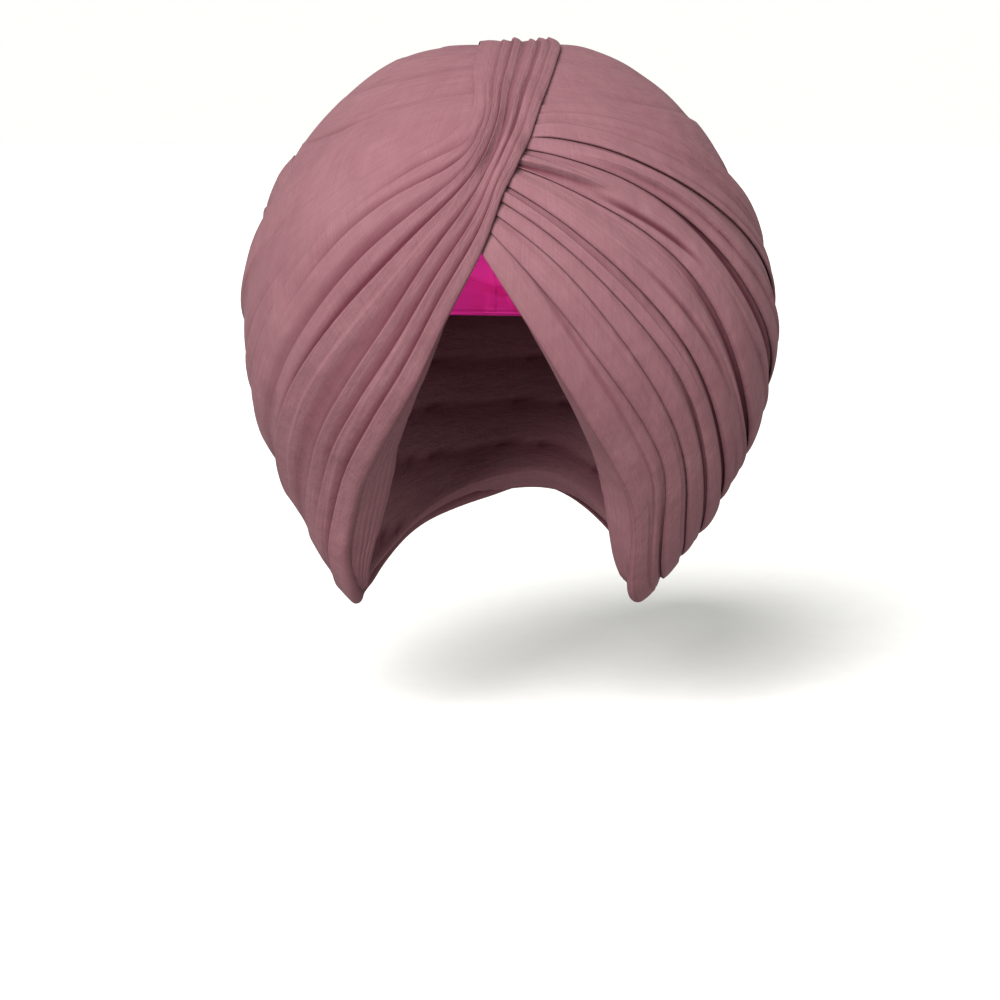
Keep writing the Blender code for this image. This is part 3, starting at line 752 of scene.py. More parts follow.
@dataclass
class Turn:
    """One visible turn of the cloth, laid on the pile and folded under at its borders.

    A station is one row of the table that sets out the borders. Lengths are in metres.
    """

    name: str
    node: str
    body: WoundBody
    pile: Pile
    lower: np.ndarray
    upper: np.ndarray
    steps: int
    columns: int
    flat: Span
    thickness: float = 0.0014
    # How far the cloth goes on beneath the next turn, and the most of its width that this may be
    tuck: float = 0.0
    tuck_most: float = 0.4
    # Size of a full fold where the turn is as wide as fold_base, and how far its width may follow
    fold_height: float = 0.0016
    fold_width: float = 0.0060
    fold_base: float = 0.060
    fold_widening: Span = (0.7, 2.2)
    fold_share: np.ndarray | None = None
    folds: list[Fold] = field(default_factory=list)
    # How far a pleat's step runs, and how that grows with the width of the turn
    step_run: float = 0.0011
    step_power: float = 1.3
    step_widening: Span = (1.0, 3.0)
    # Share of the deepest furrow by which the whole cloth is raised
    furrow_lift: float = 0.5
    # Hump of the whole turn, highest below its middle and full from this width on
    swell: float = 0.0
    swell_power: float = 0.6
    swell_width: float = 0.02
    # How far the cloth bridges steps beneath it, and how far its borders do
    drape_reach: float = 0.0060
    seat_reach: float = 0.0016
    # Rounding of a rolled border, and the run of a feathered one with its least share of thickness
    border_round: float = 0.0040
    upper_hem: bool = False
    upper_feather: float | None = None
    feather_least: float = 0.3
    # The two ends rise from beneath over this many stations
    end_run: float = 0.9
    end_sink: float = 0.0012
    closed: bool = False
    capped: bool = False
    # The cloth that turns under at a border
    hem: float = 0.0060
    arc_places: int = 6
    rim_share: np.ndarray | None = None
    # Roll of the cloth round the rim: out beyond the border, and in towards the hollow
    rim_roll: Rows = (
        (0.0010, 0.0003),
        (0.0019, 0.0010),
        (0.0025, 0.0021),
        (0.0027, 0.0034),
        (0.0025, 0.0048),
        (0.0018, 0.0062),
        (0.0006, 0.0074),
        (-0.0014, 0.0083),
        (-0.0044, 0.0092),
        (-0.0084, 0.0104),
    )
    # How much deeper the far end of the roll is set: where the roll is full, and where it eases away
    rim_set: float = 0.0018
    rim_sag: float = 0.0160
    # Painted shade of the creases: how far round a place is looked at, how deep is full, and inside a
    # hem
    crease_reach: float = 0.0040
    crease_full: float = 0.0012
    hem_painted_shade: float = 0.15

    def __post_init__(self) -> None:
        """Sets out the grid of directions and the widths along the turn."""
        reach = np.linalg.norm(self.body.outside(self.lower), axis=-1)
        angle = np.arccos(np.clip(np.sum(self.lower * self.upper, axis=-1), -1, 1))
        self.width = angle * reach
        over = np.minimum(self.tuck / self.width, self.tuck_most)
        self.shares = np.linspace(0, 1, self.columns)[None, :] * (1 + over)[:, None]
        self.unit = between(self.lower, self.upper, self.shares)
        self.base = BODY_CENTRE + self.body.outside(self.unit)
        self.lift = self.body.lift(self.unit)
        self.station = np.arange(len(self.lower)) / self.steps
        self.rise = np.zeros((*self.unit.shape[:2], 2))
        self.relief = self._relief()

    def _relief(self) -> np.ndarray:
        """Adds up the height of all the folds and of the swell.

        Returns:
            The relief over the grid, in metres.
        """
        share = np.linspace(0, 1, self.columns)
        relief = np.zeros(self.unit.shape[:2])
        wide = self.width / self.fold_base
        height_share = 1 if self.fold_share is None else self.fold_share
        height = self.fold_height * height_share * np.ones_like(wide)
        width = self.fold_width * np.clip(wide, *self.fold_widening)
        drop = self.step_run * np.clip(wide, *self.step_widening) ** self.step_power
        for fold in self.folds:
            relief += fold.relief(self.station, share, self.width, height, width, drop)
        hump = self.swell * np.sin(np.pi * share**self.swell_power)[None, :]
        return relief + hump * smooth_step(0, self.swell_width, self.width)[:, None]

    def lay(self, first: int = 0, last: int | None = None) -> np.ndarray:
        """Rests rows of the turn on the pile, bridging the steps beneath as cloth does.

        Args:
            first: first row.
            last: row after the last one, or None for all.

        Returns:
            Two heights over the body for those rows: of the cloth where it bridges steps, and of
            its borders, which follow what lies beneath.
        """
        rows = slice(first, last)
        found = self.pile.heights(self.base[rows], self.lift[rows])
        spacing = np.linalg.norm(np.diff(self.base[rows], axis=0), axis=-1).mean()
        resting = []
        for reach in (self.drape_reach, self.seat_reach):
            along = max(1, round(reach / spacing))
            across = max(1, round(reach / self.width.mean() * self.columns))
            high = window_most(window_most(found, along, 0, self.closed), across, 1)
            for axis, places in ((0, along), (1, across)):
                half = max(1, places // 2)
                wrap = self.closed and axis == 0
                high = window_mean(high, half, axis, wrap)
                high = window_mean(high, max(1, places - half), axis, wrap)
            resting.append(high)
        return np.stack(resting, axis=-1)

    def _rolled(self, away: np.ndarray) -> np.ndarray:
        """Share of its full height that a rolled edge has at a distance from the border."""
        short = 1 - np.clip(away / self.border_round, 0, 1)
        return np.sqrt(1 - short * short)

    def _rounded(self) -> np.ndarray:
        """Works out how the cloth thins towards its two borders.

        Returns:
            The share of its full height that the cloth has, over the grid.
        """
        away = self.shares * self.width[:, None]
        left = (self.shares[:, -1:] - self.shares) * self.width[:, None]
        rounded = self._rolled(away)
        if self.upper_feather is not None:
            return rounded * smooth_step(0, self.upper_feather, left)
        return rounded * self._rolled(left) if self.upper_hem else rounded

    def _ends(self) -> np.ndarray:
        """Works out how the cloth rises at its two ends, where it comes from beneath.

        Returns:
            The share of its height that the cloth has, in one column.
        """
        if self.closed:
            return np.ones((len(self.station), 1))
        ends = np.minimum(self.station, self.station[-1] - self.station)
        return smooth_step(0, self.end_run, ends)[:, None]

    def surface(self) -> np.ndarray:
        """Works out the outside of the cloth.

        Returns:
            Its points, rows along the borders and columns across.
        """
        low = np.minimum(self.relief.min(axis=1, keepdims=True), 0)
        resting, seat = self.rise[..., 0], self.rise[..., 1]
        ends = self._ends()
        rounded = self._rounded()
        loose = (resting - seat + self.relief - self.furrow_lift * low) * rounded
        least = 1 if self.upper_feather is None else self.feather_least
        thick = self.thickness * (least + (1 - least) * rounded)
        height = seat + (LAY_GAP + thick + loose) * ends - self.end_sink * (1 - ends)
        return self.base + self.lift * height[..., None]

    def _normals(self, points: np.ndarray) -> np.ndarray:
        """Outward normals of a grid of points."""
        return unit_vectors(np.cross(np.gradient(points, axis=0), np.gradient(points, axis=1)))

    def _hem(self, points: np.ndarray, normals: np.ndarray, upper: bool) -> np.ndarray:
        """Lays out the cloth that turns under at a border.

        Args:
            points: the outside of the cloth.
            normals: its outward normals.
            upper: whether the border is the upper one.

        Returns:
            Points from the border inwards, in a row for each row of the cloth.
        """
        if upper:
            points = points[:, ::-1]
            normals = normals[:, ::-1]
        radius = self.thickness / 2
        outward = unit_vectors(points[:, 0] - points[:, 1])
        normal = normals[:, 0]
        angles = np.linspace(0, math.pi, self.arc_places + 1)[1:]
        arc = [
            points[:, 0] + outward * radius * math.sin(angle) - normal * radius * (1 - math.cos(angle))
            for angle in angles
        ]
        under = []
        count = len(self.rim_roll) - self.arc_places
        for number in range(1, count + 1):
            column = max(1, round(number * self.hem / count / (self.width.mean() / self.columns)))
            column = min(column, points.shape[1] - 1)
            under.append(points[:, column] - normals[:, column] * self.thickness)
        hem = np.stack(arc + under, axis=1)
        if not upper and self.rim_share is not None and self.rim_share.any():
            roll = np.stack(
                [points[:, 0] + outward * out - normal * down for out, down in self.rim_roll], axis=1
            )
            share = self.rim_share[:, None, None]
            # The far end of the roll is set deeper, so that it stays under the folds
            far = np.linspace(0, 1, hem.shape[1])[None, :, None] ** 2
            sag = (self.rim_set * share + self.rim_sag * share * (1 - share)) * far
            hem = hem * (1 - share) + roll * share - self.lift[:, :1] * sag
        return hem

    def points(self) -> tuple[np.ndarray, int]:
        """Puts the lower hem, the outside and the upper hem together.

        Returns:
            The points in rows, and how many columns the lower hem takes.
        """
        top = self.surface()
        normals = self._normals(top)
        parts = [self._hem(top, normals, False)[:, ::-1], top]
        if self.upper_hem:
            parts.append(self._hem(top, normals, True))
        return np.concatenate(parts, axis=1), len(self.rim_roll)

    def crease_depth(self) -> np.ndarray:
        """Works out how deep each point of the outside lies below the cloth round it.

        Returns:
            The depth over the grid, from 0 to 1, which is painted as shade in the creases.
        """
        reach = max(2, round(self.crease_reach / (self.width.mean() / self.columns)))
        around = window_mean(window_mean(self.relief, reach, 1), reach, 1)
        return np.clip((around - self.relief) / self.crease_full, 0, 1)

    def make(self) -> bpy.types.Object:
        """Returns:
            The finished object.
        """
        points, hem = self.points()
        if self.closed:
            points = points[:-1]
        rows, columns = points.shape[:2]
        quads = grid_quads(rows, columns, self.closed)
        cap = [list(range(columns - 1, rows * columns, columns))] if self.capped else []
        made = mesh_object(self.name, points, quads.tolist() + cap)
        along = np.zeros((rows, columns))
        along[1:] = np.cumsum(np.linalg.norm(np.diff(points[:, hem], axis=0), axis=-1))[:, None]
        write_threads(made, along, distances_across(points))
        # Painted shade: darker in the creases and under the turned-in hem, darkest where the hem lies
        # furthest in
        depth = np.zeros((rows, columns))
        depth[:, hem : hem + self.columns] = self.crease_depth()[:rows]
        depth[:, :hem] = np.linspace(1, self.hem_painted_shade, hem)[None, :]
        write_painted_shade(made, depth)
        self.pile.add(points, quads)
        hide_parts(self.node)
        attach(made, "root")
        return made


@dataclass
class InnerTurns:
    """The wound cloth beneath the visible turns, seen inside the hollow and along the rim."""

    body: WoundBody
    pile: Pile
    sectors: int = 200
    outside_rows: int = 44
    inside_rows: int = 90
    rim_rows: int = 22
    # Elevation of the small caps that close the body and the hollow at the top
    cap_elevation: float = 89.0
    # Layers inside the hollow, in degrees: how tall, how they tilt and wave, and where they fade
    wrap_tall: float = 13.0
    wrap_tilt: float = 14.0
    wrap_phase: float = 35.0
    wrap_wave: float = 6.0
    wrap_fade: Span = (55.0, 78.0)
    wrap_rise: float = 0.0016
    # Share of a layer over which it rises, how far it falls again, and how soon its painted shade
    # clears
    lap: float = 0.14
    lap_fall: float = 0.75
    painted_shade_gain: float = 1.6
    # The underside: how far it bulges, how squarely, and the edges of its layers
    rim_round: float = 0.0035
    rim_power: int = 4
    layer_rise: float = 0.0007
    layers: int = 7
    fill: float = 0.8

    def _wrap_relief(self, bearing: np.ndarray, elevation: np.ndarray) -> np.ndarray:
        """Works out the wound layers inside the hollow, each lapping over the next.

        Args:
            bearing: bearings in degrees.
            elevation: elevations in degrees.

        Returns:
            The height of the layers there, in metres.
        """
        tilt = self.wrap_tilt * np.sin(np.radians(bearing + self.wrap_phase))
        wave = self.wrap_wave * np.sin(np.radians(2 * bearing))
        turn = (elevation + tilt + wave) / self.wrap_tall
        part = turn - np.floor(turn)
        lap = smooth_step(0, self.lap, part) * (1 - self.lap_fall * part)
        return self.wrap_rise * lap * (1 - smooth_step(*self.wrap_fade, elevation))

    def _outside(self, bearings: np.ndarray) -> np.ndarray:
        """Works out the outside, from the top down to the rim.

        Args:
            bearings: bearing of each section, in degrees.

        Returns:
            Vectors from the centre, in a row for each section.
        """
        rim = self.body.rim(bearings, self.body.rim_recess)[:, None]
        share = np.linspace(0, 1, self.outside_rows)[None, :]
        elevation = self.cap_elevation + (rim - self.cap_elevation) * share
        return self.body.outside(unit_direction(bearings[:, None], elevation))

    def _inside(self, bearings: np.ndarray) -> tuple[np.ndarray, np.ndarray]:
        """Works out the hollow, from the rim up, with its layers standing in from the wall.

        Args:
            bearings: bearing of each section, in degrees.

        Returns:
            Vectors from the centre, in a row for each section, and how deep each lies between the
            layers, from 0 to 1.
        """
        rim = self.body.rim(bearings, self.body.rim_recess + self.body.rim_slant)[:, None]
        share = np.linspace(0, 1, self.inside_rows)[None, :]
        elevation = rim + (self.cap_elevation - rim) * share
        inner = self.body.hollow(unit_direction(bearings[:, None], elevation))
        length = np.linalg.norm(inner, axis=-1, keepdims=True)
        relief = self._wrap_relief(bearings[:, None], elevation)
        # Painted shade: darker in the hollow between the wound layers
        depth = 1 - np.clip(relief / self.wrap_rise * self.painted_shade_gain, 0, 1)
        return inner * (1 + (self.wrap_rise - relief[..., None]) / length), depth

    def _underside(self, first: np.ndarray, last: np.ndarray) -> np.ndarray:
        """Works out the underside, with the edges of the layers showing.

        Args:
            first: the rim of the outside, in one column.
            last: the rim of the hollow, in one column.

        Returns:
            Vectors from the centre, in a row for each section.
        """
        share = np.linspace(0, 1, self.rim_rows + 2)[1:-1]
        across = last - first
        normal = unit_vectors(np.cross(across, np.gradient(first, axis=0)))
        down = np.where(normal[..., 2:] > 0, -normal, normal)
        bulge = self.rim_round * np.sqrt(np.clip(1 - (2 * share - 1) ** self.rim_power, 0, 1))
        edges = self.layer_rise * np.abs(np.sin(math.pi * self.layers * share))
        return first + across * share[None, :, None] + down * (bulge + edges)[None, :, None]

    def make(self) -> bpy.types.Object:
        """Builds the body as one closed ring of sections with a cap at each end.

        Returns:
            The finished object.
        """
        bearings = np.arange(self.sectors) * 360 / self.sectors
        outer = self._outside(bearings)
        inner, shade = self._inside(bearings)
        rim = self._underside(outer[:, -1:], inner[:, :1])
        ring = BODY_CENTRE + np.concatenate((outer, rim, inner), axis=1)
        columns = ring.shape[1]
        quads = grid_quads(self.sectors, columns, True)[:, ::-1]
        top = list(range(0, self.sectors * columns, columns))
        inner_top = list(range(self.sectors * columns - 1, 0, -columns))
        made = mesh_object("inner_turns_cloth", ring, [*quads.tolist(), top, inner_top])
        along = np.radians(np.repeat(bearings[:, None], columns, axis=1)) * self.body.half_width
        write_threads(made, along, distances_across(ring))
        # Painted shade between the layers inside the hollow
        depth = np.zeros((self.sectors, columns))
        depth[:, -self.inside_rows :] = shade
        write_painted_shade(made, depth)
        self.pile.add(ring, quads)
        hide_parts("inner_turns")
        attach(made, "root")
        return made


@dataclass
class UnderBand:
    """A folded strip inside the hollow, whose lower edge shows in front."""

    body: WoundBody
    pile: Pile
    height: float = 0.0560
    thickness: float = 0.0012
    gap: float = 0.0004
    sectors: int = 240
    columns: int = 34
    # Places round each folded edge, and how far it bulges as a share of the thickness
    edge_places: int = 5
    edge_bulge: float = 0.6
    # Places over which the wall of the hollow is evened out, and its least distance
    smooth: int = 9
    wall_least: float = 0.05
    # Creases: their depth, their waves up the band, their sway and how they come and go round it
    crease_rise: float = 0.0002
    crease_waves: float = 21.0
    crease_sway: Span = (1.6, 3.0)
    crease_power: int = 4
    crease_spacing: Span = (3.0, 5.0)
    # The pressed line along the lower fold, and its painted shade
    hem_inset: float = 0.0016
    hem_width: float = 0.0006
    hem_depth: float = 0.00025
    hem_painted_shade: float = 0.6
    flat: Span = (0.060, 0.49)

    def _wall(self, reach: np.ndarray) -> np.ndarray:
        """Evens out the wall of the hollow, always on its near side.

        Args:
            reach: vectors from the centre to the wall.

        Returns:
            The distance of the evened wall along each vector.
        """
        wall = self.pile.walls(reach, self.wall_least)
        wall = -window_most(window_most(-wall, self.smooth, 0, True), self.smooth, 1)
        return window_mean(window_mean(wall, self.smooth, 0, True), self.smooth, 1)

    def _creases(self, turn: np.ndarray, share: np.ndarray) -> np.ndarray:
        """Works out the stray creases.

        Args:
            turn: bearings in radians.
            share: shares of the way up the band.

        Returns:
            How far each place is from the bottom of a crease, from 0 to 1.
        """
        wide, narrow = self.crease_sway
        waves = share * self.crease_waves + wide * np.sin(2 * turn) + narrow * np.sin(turn)
        around, up = self.crease_spacing
        crease = (0.5 + 0.5 * np.sin(waves)) ** self.crease_power
        return 1 - crease * (0.5 + 0.5 * np.sin(around * turn + up * share))

    def _edge(self, first: np.ndarray, last: np.ndarray, way: int) -> np.ndarray:
        """Rounds a folded edge.

        Args:
            first: the edge of the face from which the fold starts.
            last: the edge of the face where it ends.
            way: 1 for an edge that bulges upwards, -1 for one that bulges downwards.

        Returns:
            Vectors from the centre, in columns from one face to the other.
        """
        edge = []
        for angle in np.linspace(0, math.pi, self.edge_places + 2)[1:-1]:
            mix = (1 - math.cos(angle)) / 2
            out = np.array((0, 0, way * math.sin(angle) * self.thickness * self.edge_bulge))
            edge.append(first * (1 - mix) + last * mix + out)
        return np.stack(edge, axis=1)

    def make(self) -> bpy.types.Object:
        """Builds the outer face, the folded edges and the inner face as one closed strip.

        Returns:
            The finished object.
        """
        bearings = np.arange(self.sectors) * 360 / self.sectors
        share = np.linspace(0, 1, self.columns)
        tall = math.degrees(self.height / self.body.hollow_front)
        elevation = closed_curve(UNDER_BAND_LINE, bearings)[:, None] + tall * share[None, :]
        turn = np.radians(bearings)[:, None]
        reach = self.body.hollow(unit_direction(bearings[:, None], elevation))
        wall = self._wall(reach)
        length = np.linalg.norm(reach, axis=-1)
        creases = self._creases(turn, share[None, :])
        hem = np.exp(-(((share * self.height - self.hem_inset) / self.hem_width) ** 2))
        inset = self.crease_rise * creases + self.hem_depth * hem[None, :]
        outer = reach * ((wall - self.gap - inset) / length)[..., None]
        inner = reach * ((wall - self.gap - self.crease_rise - self.thickness) / length)[..., None]
        low = self._edge(outer[:, 0], inner[:, 0], -1)
        high = self._edge(inner[:, -1], outer[:, -1], 1)
        points = BODY_CENTRE + np.concatenate((outer[:, ::-1], low, inner, high), axis=1)
        columns = points.shape[1]
        row = np.arange(self.sectors)[:, None]
        column = np.arange(columns)[None, :]
        after = (row + 1) % self.sectors * columns
        beside = (column + 1) % columns
        quads = np.stack(
            (row * columns + column, row * columns + beside, after + beside, after + column), axis=-1
        )
        made = mesh_object("under_band_cloth", points, quads.reshape(-1, 4).tolist())
        along = np.repeat(turn * self.body.hollow_half_width, columns, axis=1)
        write_threads(made, along, distances_across(points))
        # Painted shade along the pressed line of the lower fold
        depth = np.zeros((self.sectors, columns))
        depth[:, : self.columns] = self.hem_painted_shade * hem[::-1]
        write_painted_shade(made, depth)
        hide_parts("under_band")
        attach(made, "root")
        return made


@dataclass
class CrownCover:
    """The cloth spread over the crown: a closed turn whose upper border is a small capped ring."""

    body: WoundBody
    pile: Pile
    # Degrees between the stations of its edge
    spacing: int = 15
    steps: int = 9
    columns: int = 60
    ring_elevation: float = 87.5
    flat: Span = (0.23, 0.25)
    stray_seed: int = 11
    stray_count: int = 16

    def build(self) -> bpy.types.Object:
        """Lays the cover.

        Returns:
            The finished object.
        """
        stations = np.arange(0, 360 + self.spacing, self.spacing)
        ring = np.full(stations.shape, self.ring_elevation)
        turn = Turn(
            name="crown_cover_cloth",
            node="crown_cover",
            body=self.body,
            pile=self.pile,
            lower=border_line(stations, closed_curve(CROWN_LINE, stations), self.steps, True),
            upper=border_line(stations, ring, self.steps, True),
            steps=self.steps,
            columns=self.columns,
            flat=self.flat,
            closed=True,
            capped=True,
            thickness=0.0010,
            fold_height=0.0008,
            folds=stray_folds(self.stray_seed, len(stations) - 1, self.stray_count, 1.0),
        )
        turn.rise = turn.lay()
        return turn.make()


# Long pleats of the turns round the crown, by turn number
UPPER_FOLDS: dict[int, tuple[Fold, ...]] = {
    1: (
        Fold(FoldKind.PLEAT_UP, ((0.8, 0.30), (3.0, 0.34), (6.2, 0.36)), 1.1, 0.9, (0.3, 0.3)),
        Fold(FoldKind.PLEAT_DOWN, ((1.4, 0.66), (3.4, 0.60), (6.4, 0.66)), 0.9, 0.9, (0.3, 0.3)),
        Fold(FoldKind.HOLLOW, ((0.8, 0.48), (3.2, 0.47), (5.6, 0.50)), 0.8, 0.7, (0.3, 0.3)),
    ),
    2: (
        Fold(FoldKind.PLEAT_UP, ((0.8, 0.26), (4.0, 0.30), (8.4, 0.38)), 1.2, 0.9, (0.3, 0.3)),
        Fold(FoldKind.PLEAT_UP, ((1.6, 0.52), (4.4, 0.50), (8.0, 0.58)), 1.1, 0.9, (0.3, 0.3)),
        Fold(FoldKind.PLEAT_DOWN, ((1.2, 0.74), (4.2, 0.68), (7.0, 0.66)), 0.8, 0.9, (0.3, 0.4)),
        Fold(FoldKind.HOLLOW, ((2.4, 0.40), (4.6, 0.41), (7.0, 0.46)), 0.8, 0.7, (0.3, 0.3)),
    ),
    3: (
        Fold(FoldKind.PLEAT_UP, ((1.2, 0.35), (3.5, 0.30), (6.5, 0.26)), 1.0, 0.9, (0.3, 0.3)),
        Fold(FoldKind.PLEAT_UP, ((3.2, 0.62), (6.5, 0.50), (9.6, 0.46)), 1.3, 0.9, (0.3, 0.3)),
        Fold(FoldKind.PLEAT_DOWN, ((4.5, 0.80), (7.5, 0.74), (10.6, 0.66)), 1.2, 0.9, (0.3, 0.3)),
        Fold(FoldKind.PLEAT_UP, ((5.5, 0.36), (8.0, 0.30), (10.8, 0.34)), 1.2, 0.9, (0.3, 0.3)),
        Fold(FoldKind.HOLLOW, ((5.0, 0.62), (7.6, 0.60), (10.4, 0.56)), 0.9, 0.8, (0.3, 0.4)),
        Fold(FoldKind.HOLLOW, ((6.0, 0.18), (8.4, 0.17), (10.8, 0.20)), 0.9, 0.7, (0.3, 0.4)),
    ),
}


@dataclass
class UpperTurns:
    """The turns round the crown whose upper borders step down the back."""

    body: WoundBody
    pile: Pile
    steps: int = 15
    columns: int = 64
    flats: tuple[Span, ...] = ((0.066, 0.34), (0.080, 0.45), (0.070, 0.72))
    stray_seed: int = 20
    stray_count: int = 7
    stray_height: float = 0.8

    def build(self, number: int) -> bpy.types.Object:
        """Lays one of the turns.

        Args:
            number: which turn, counted from 1.

        Returns:
            The finished object.
        """
        rows = np.asarray(UPPER_TURNS[number - 1], float)
        closed = number == len(UPPER_TURNS)
        folds = list(UPPER_FOLDS[number])
        if not closed:
            folds += stray_folds(
                self.stray_seed + number, len(rows) - 1, self.stray_count, self.stray_height
            )
        turn = Turn(
            name=f"upper_turn_{number}_cloth",
            node=f"upper_turn_{number}",
            body=self.body,
            pile=self.pile,
            lower=border_line(rows[:, 0], rows[:, 1], self.steps, closed),
            upper=border_line(rows[:, 2], rows[:, 3], self.steps, closed),
            steps=self.steps,
            columns=self.columns,
            flat=self.flats[number - 1],
            closed=closed,
            upper_hem=True,
            fold_height=0.0010,
            thickness=0.0010,
            drape_reach=0.0045,
            upper_feather=0.0120,
            end_run=2.0,
            folds=folds,
        )
        turn.rise = turn.lay()
        return turn.make()


# Soft folds and darts on the turns of the right side, by turn number
RIGHT_FOLDS: dict[int, tuple[Fold, ...]] = {
    1: (
        Fold(FoldKind.HOLLOW, ((-0.2, 0.95), (1.2, 0.62), (3.2, 0.45)), 0.45, 0.5, (0.05, 0.4)),
        Fold(FoldKind.PLEAT_DOWN, ((1.2, 0.62), (2.6, 0.50), (4.2, 0.35)), 0.45, 0.9, (0.4, 0.4)),
        Fold(FoldKind.PLEAT_UP, ((1.6, 0.30), (3.0, 0.30), (5.0, 0.40)), 0.30, 0.9, (0.4, 0.4)),
        Fold(FoldKind.HOLLOW, ((1.8, 0.72), (3.0, 0.73), (5.0, 0.72)), 0.60, 0.5, (0.4, 0.3)),
    ),
    2: (
        Fold(FoldKind.HOLLOW, ((0.0, 0.6), (1.2, 0.52), (2.4, 0.5)), 0.35, 0.4, (0.05, 0.5)),
        Fold(FoldKind.PLEAT_UP, ((1.4, 0.5), (3.0, 0.45), (4.8, 0.5)), 0.35, 0.7, (0.4, 0.4)),
    ),
    3: (
        Fold(FoldKind.ROLL, ((0.6, 0.5), (2.0, 0.45), (3.5, 0.5)), 0.30, 0.5, (0.4, 0.4)),
        Fold(FoldKind.PLEAT_DOWN, ((2.2, 0.6), (3.4, 0.5), (5.2, 0.5)), 0.35, 0.7, (0.4, 0.4)),
        Fold(FoldKind.HOLLOW, ((1.4, 0.68), (3.0, 0.68), (4.8, 0.68)), 0.70, 0.5, (0.4, 0.3)),
    ),
    4: (
        Fold(FoldKind.PLEAT_UP, ((0.0, 0.35), (1.2, 0.34), (2.6, 0.30)), 0.65, 0.6, (0.05, 0.5)),
        Fold(FoldKind.HOLLOW, ((2.0, 0.6), (3.2, 0.55), (4.6, 0.45)), 0.50, 0.7, (0.4, 0.4)),
        Fold(FoldKind.HOLLOW, ((1.2, 0.72), (2.6, 0.72), (4.6, 0.72)), 1.20, 0.7, (0.4, 0.3)),
    ),
    5: (
        Fold(FoldKind.HOLLOW, ((1.2, 0.30), (2.0, 0.34), (2.9, 0.42)), 0.90, 0.6, (0.45, 0.4)),
        Fold(FoldKind.PLEAT_DOWN, ((1.9, 0.55), (3.0, 0.56), (4.4, 0.50)), 0.80, 0.9, (0.4, 0.4)),
        Fold(FoldKind.HOLLOW, ((2.4, 0.25), (3.4, 0.22), (4.6, 0.28)), 0.60, 0.7, (0.4, 0.4)),
        Fold(FoldKind.HOLLOW, ((1.4, 0.76), (2.6, 0.78), (4.4, 0.78)), 1.30, 0.8, (0.4, 0.3)),
    ),
    6: (
        Fold(FoldKind.PLEAT_DOWN, ((0.0, 0.08), (0.6, 0.20), (1.5, 0.38)), 1.60, 0.5, (0.03, 0.30)),
        Fold(FoldKind.HOLLOW, ((1.1, 0.10), (1.7, 0.20), (2.3, 0.30)), 1.30, 0.4, (0.35, 0.35)),
        Fold(FoldKind.PLEAT_DOWN, ((2.0, 0.45), (3.2, 0.50), (5.0, 0.50)), 0.80, 1.0, (0.35, 0.4)),
        Fold(FoldKind.HOLLOW, ((1.3, 0.80), (2.4, 0.80), (4.4, 0.78)), 1.30, 0.7, (0.35, 0.3)),
    ),
    7: (
        Fold(FoldKind.PLEAT_UP, ((0.8, 0.42), (2.2, 0.50), (3.8, 0.55)), 0.60, 0.8, (0.3, 0.4)),
        Fold(FoldKind.PLEAT_DOWN, ((0.8, 0.16), (2.0, 0.26), (4.4, 0.34)), 1.10, 0.5, (0.3, 0.4)),
        Fold(FoldKind.PLEAT_DOWN, ((2.8, 0.72), (4.0, 0.66), (5.6, 0.60)), 0.60, 0.9, (0.4, 0.4)),
    ),
}


@dataclass
class RightTurns:
    """The turns that fan from the front centre over the right side to the lower back."""

    body: WoundBody
    pile: Pile
    steps: int = 20
    columns: int = 52
    tuck: float = 0.0080
    # Stations where the roll round the rim starts, is full, starts to ease away and ends
    roll_stations: tuple[float, ...] = (0.25, 0.75, 3.7, 4.7)
    stray_seed: int = 40
    stray_count: int = 5
    stray_height: float = 0.35
    flats: tuple[Span, ...] = (
        (0.028, 0.41),
        (0.023, 0.41),
        (0.023, 0.40),
        (0.026, 0.40),
        (0.034, 0.39),
        (0.041, 0.38),
        (0.044, 0.36),
    )

    def _line(self, row: tuple[float, ...]) -> np.ndarray:
        """Directions along one crease."""
        return border_line(np.array((row[0], *CREASE_BEARINGS)), np.array(row[1:]), self.steps)

    def build(self, number: int) -> bpy.types.Object:
        """Lays one of the turns.

        Args:
            number: which turn, counted from 1 at the rim.

        Returns:
            The finished object.
        """
        lower = self._line(RIGHT_CREASES[number - 1])
        station = np.arange(len(lower)) / self.steps
        rim = np.interp(station, self.roll_stations, (0, 1, 1, 0)) if number == 1 else None
        strays = stray_folds(
            self.stray_seed + number, len(CREASE_BEARINGS), self.stray_count, self.stray_height
        )
        turn = Turn(
            name=f"right_turn_{number}_cloth",
            node=f"right_turn_{number}",
            body=self.body,
            pile=self.pile,
            lower=lower,
            upper=self._line(RIGHT_CREASES[number]),
            steps=self.steps,
            columns=self.columns,
            flat=self.flats[number - 1],
            tuck=self.tuck,
            rim_share=rim,
            thickness=0.0011,
            swell=0.0009,
            end_run=0.25,
            folds=[*RIGHT_FOLDS[number], *strays],
        )
        turn.rise = turn.lay()
        return turn.make()


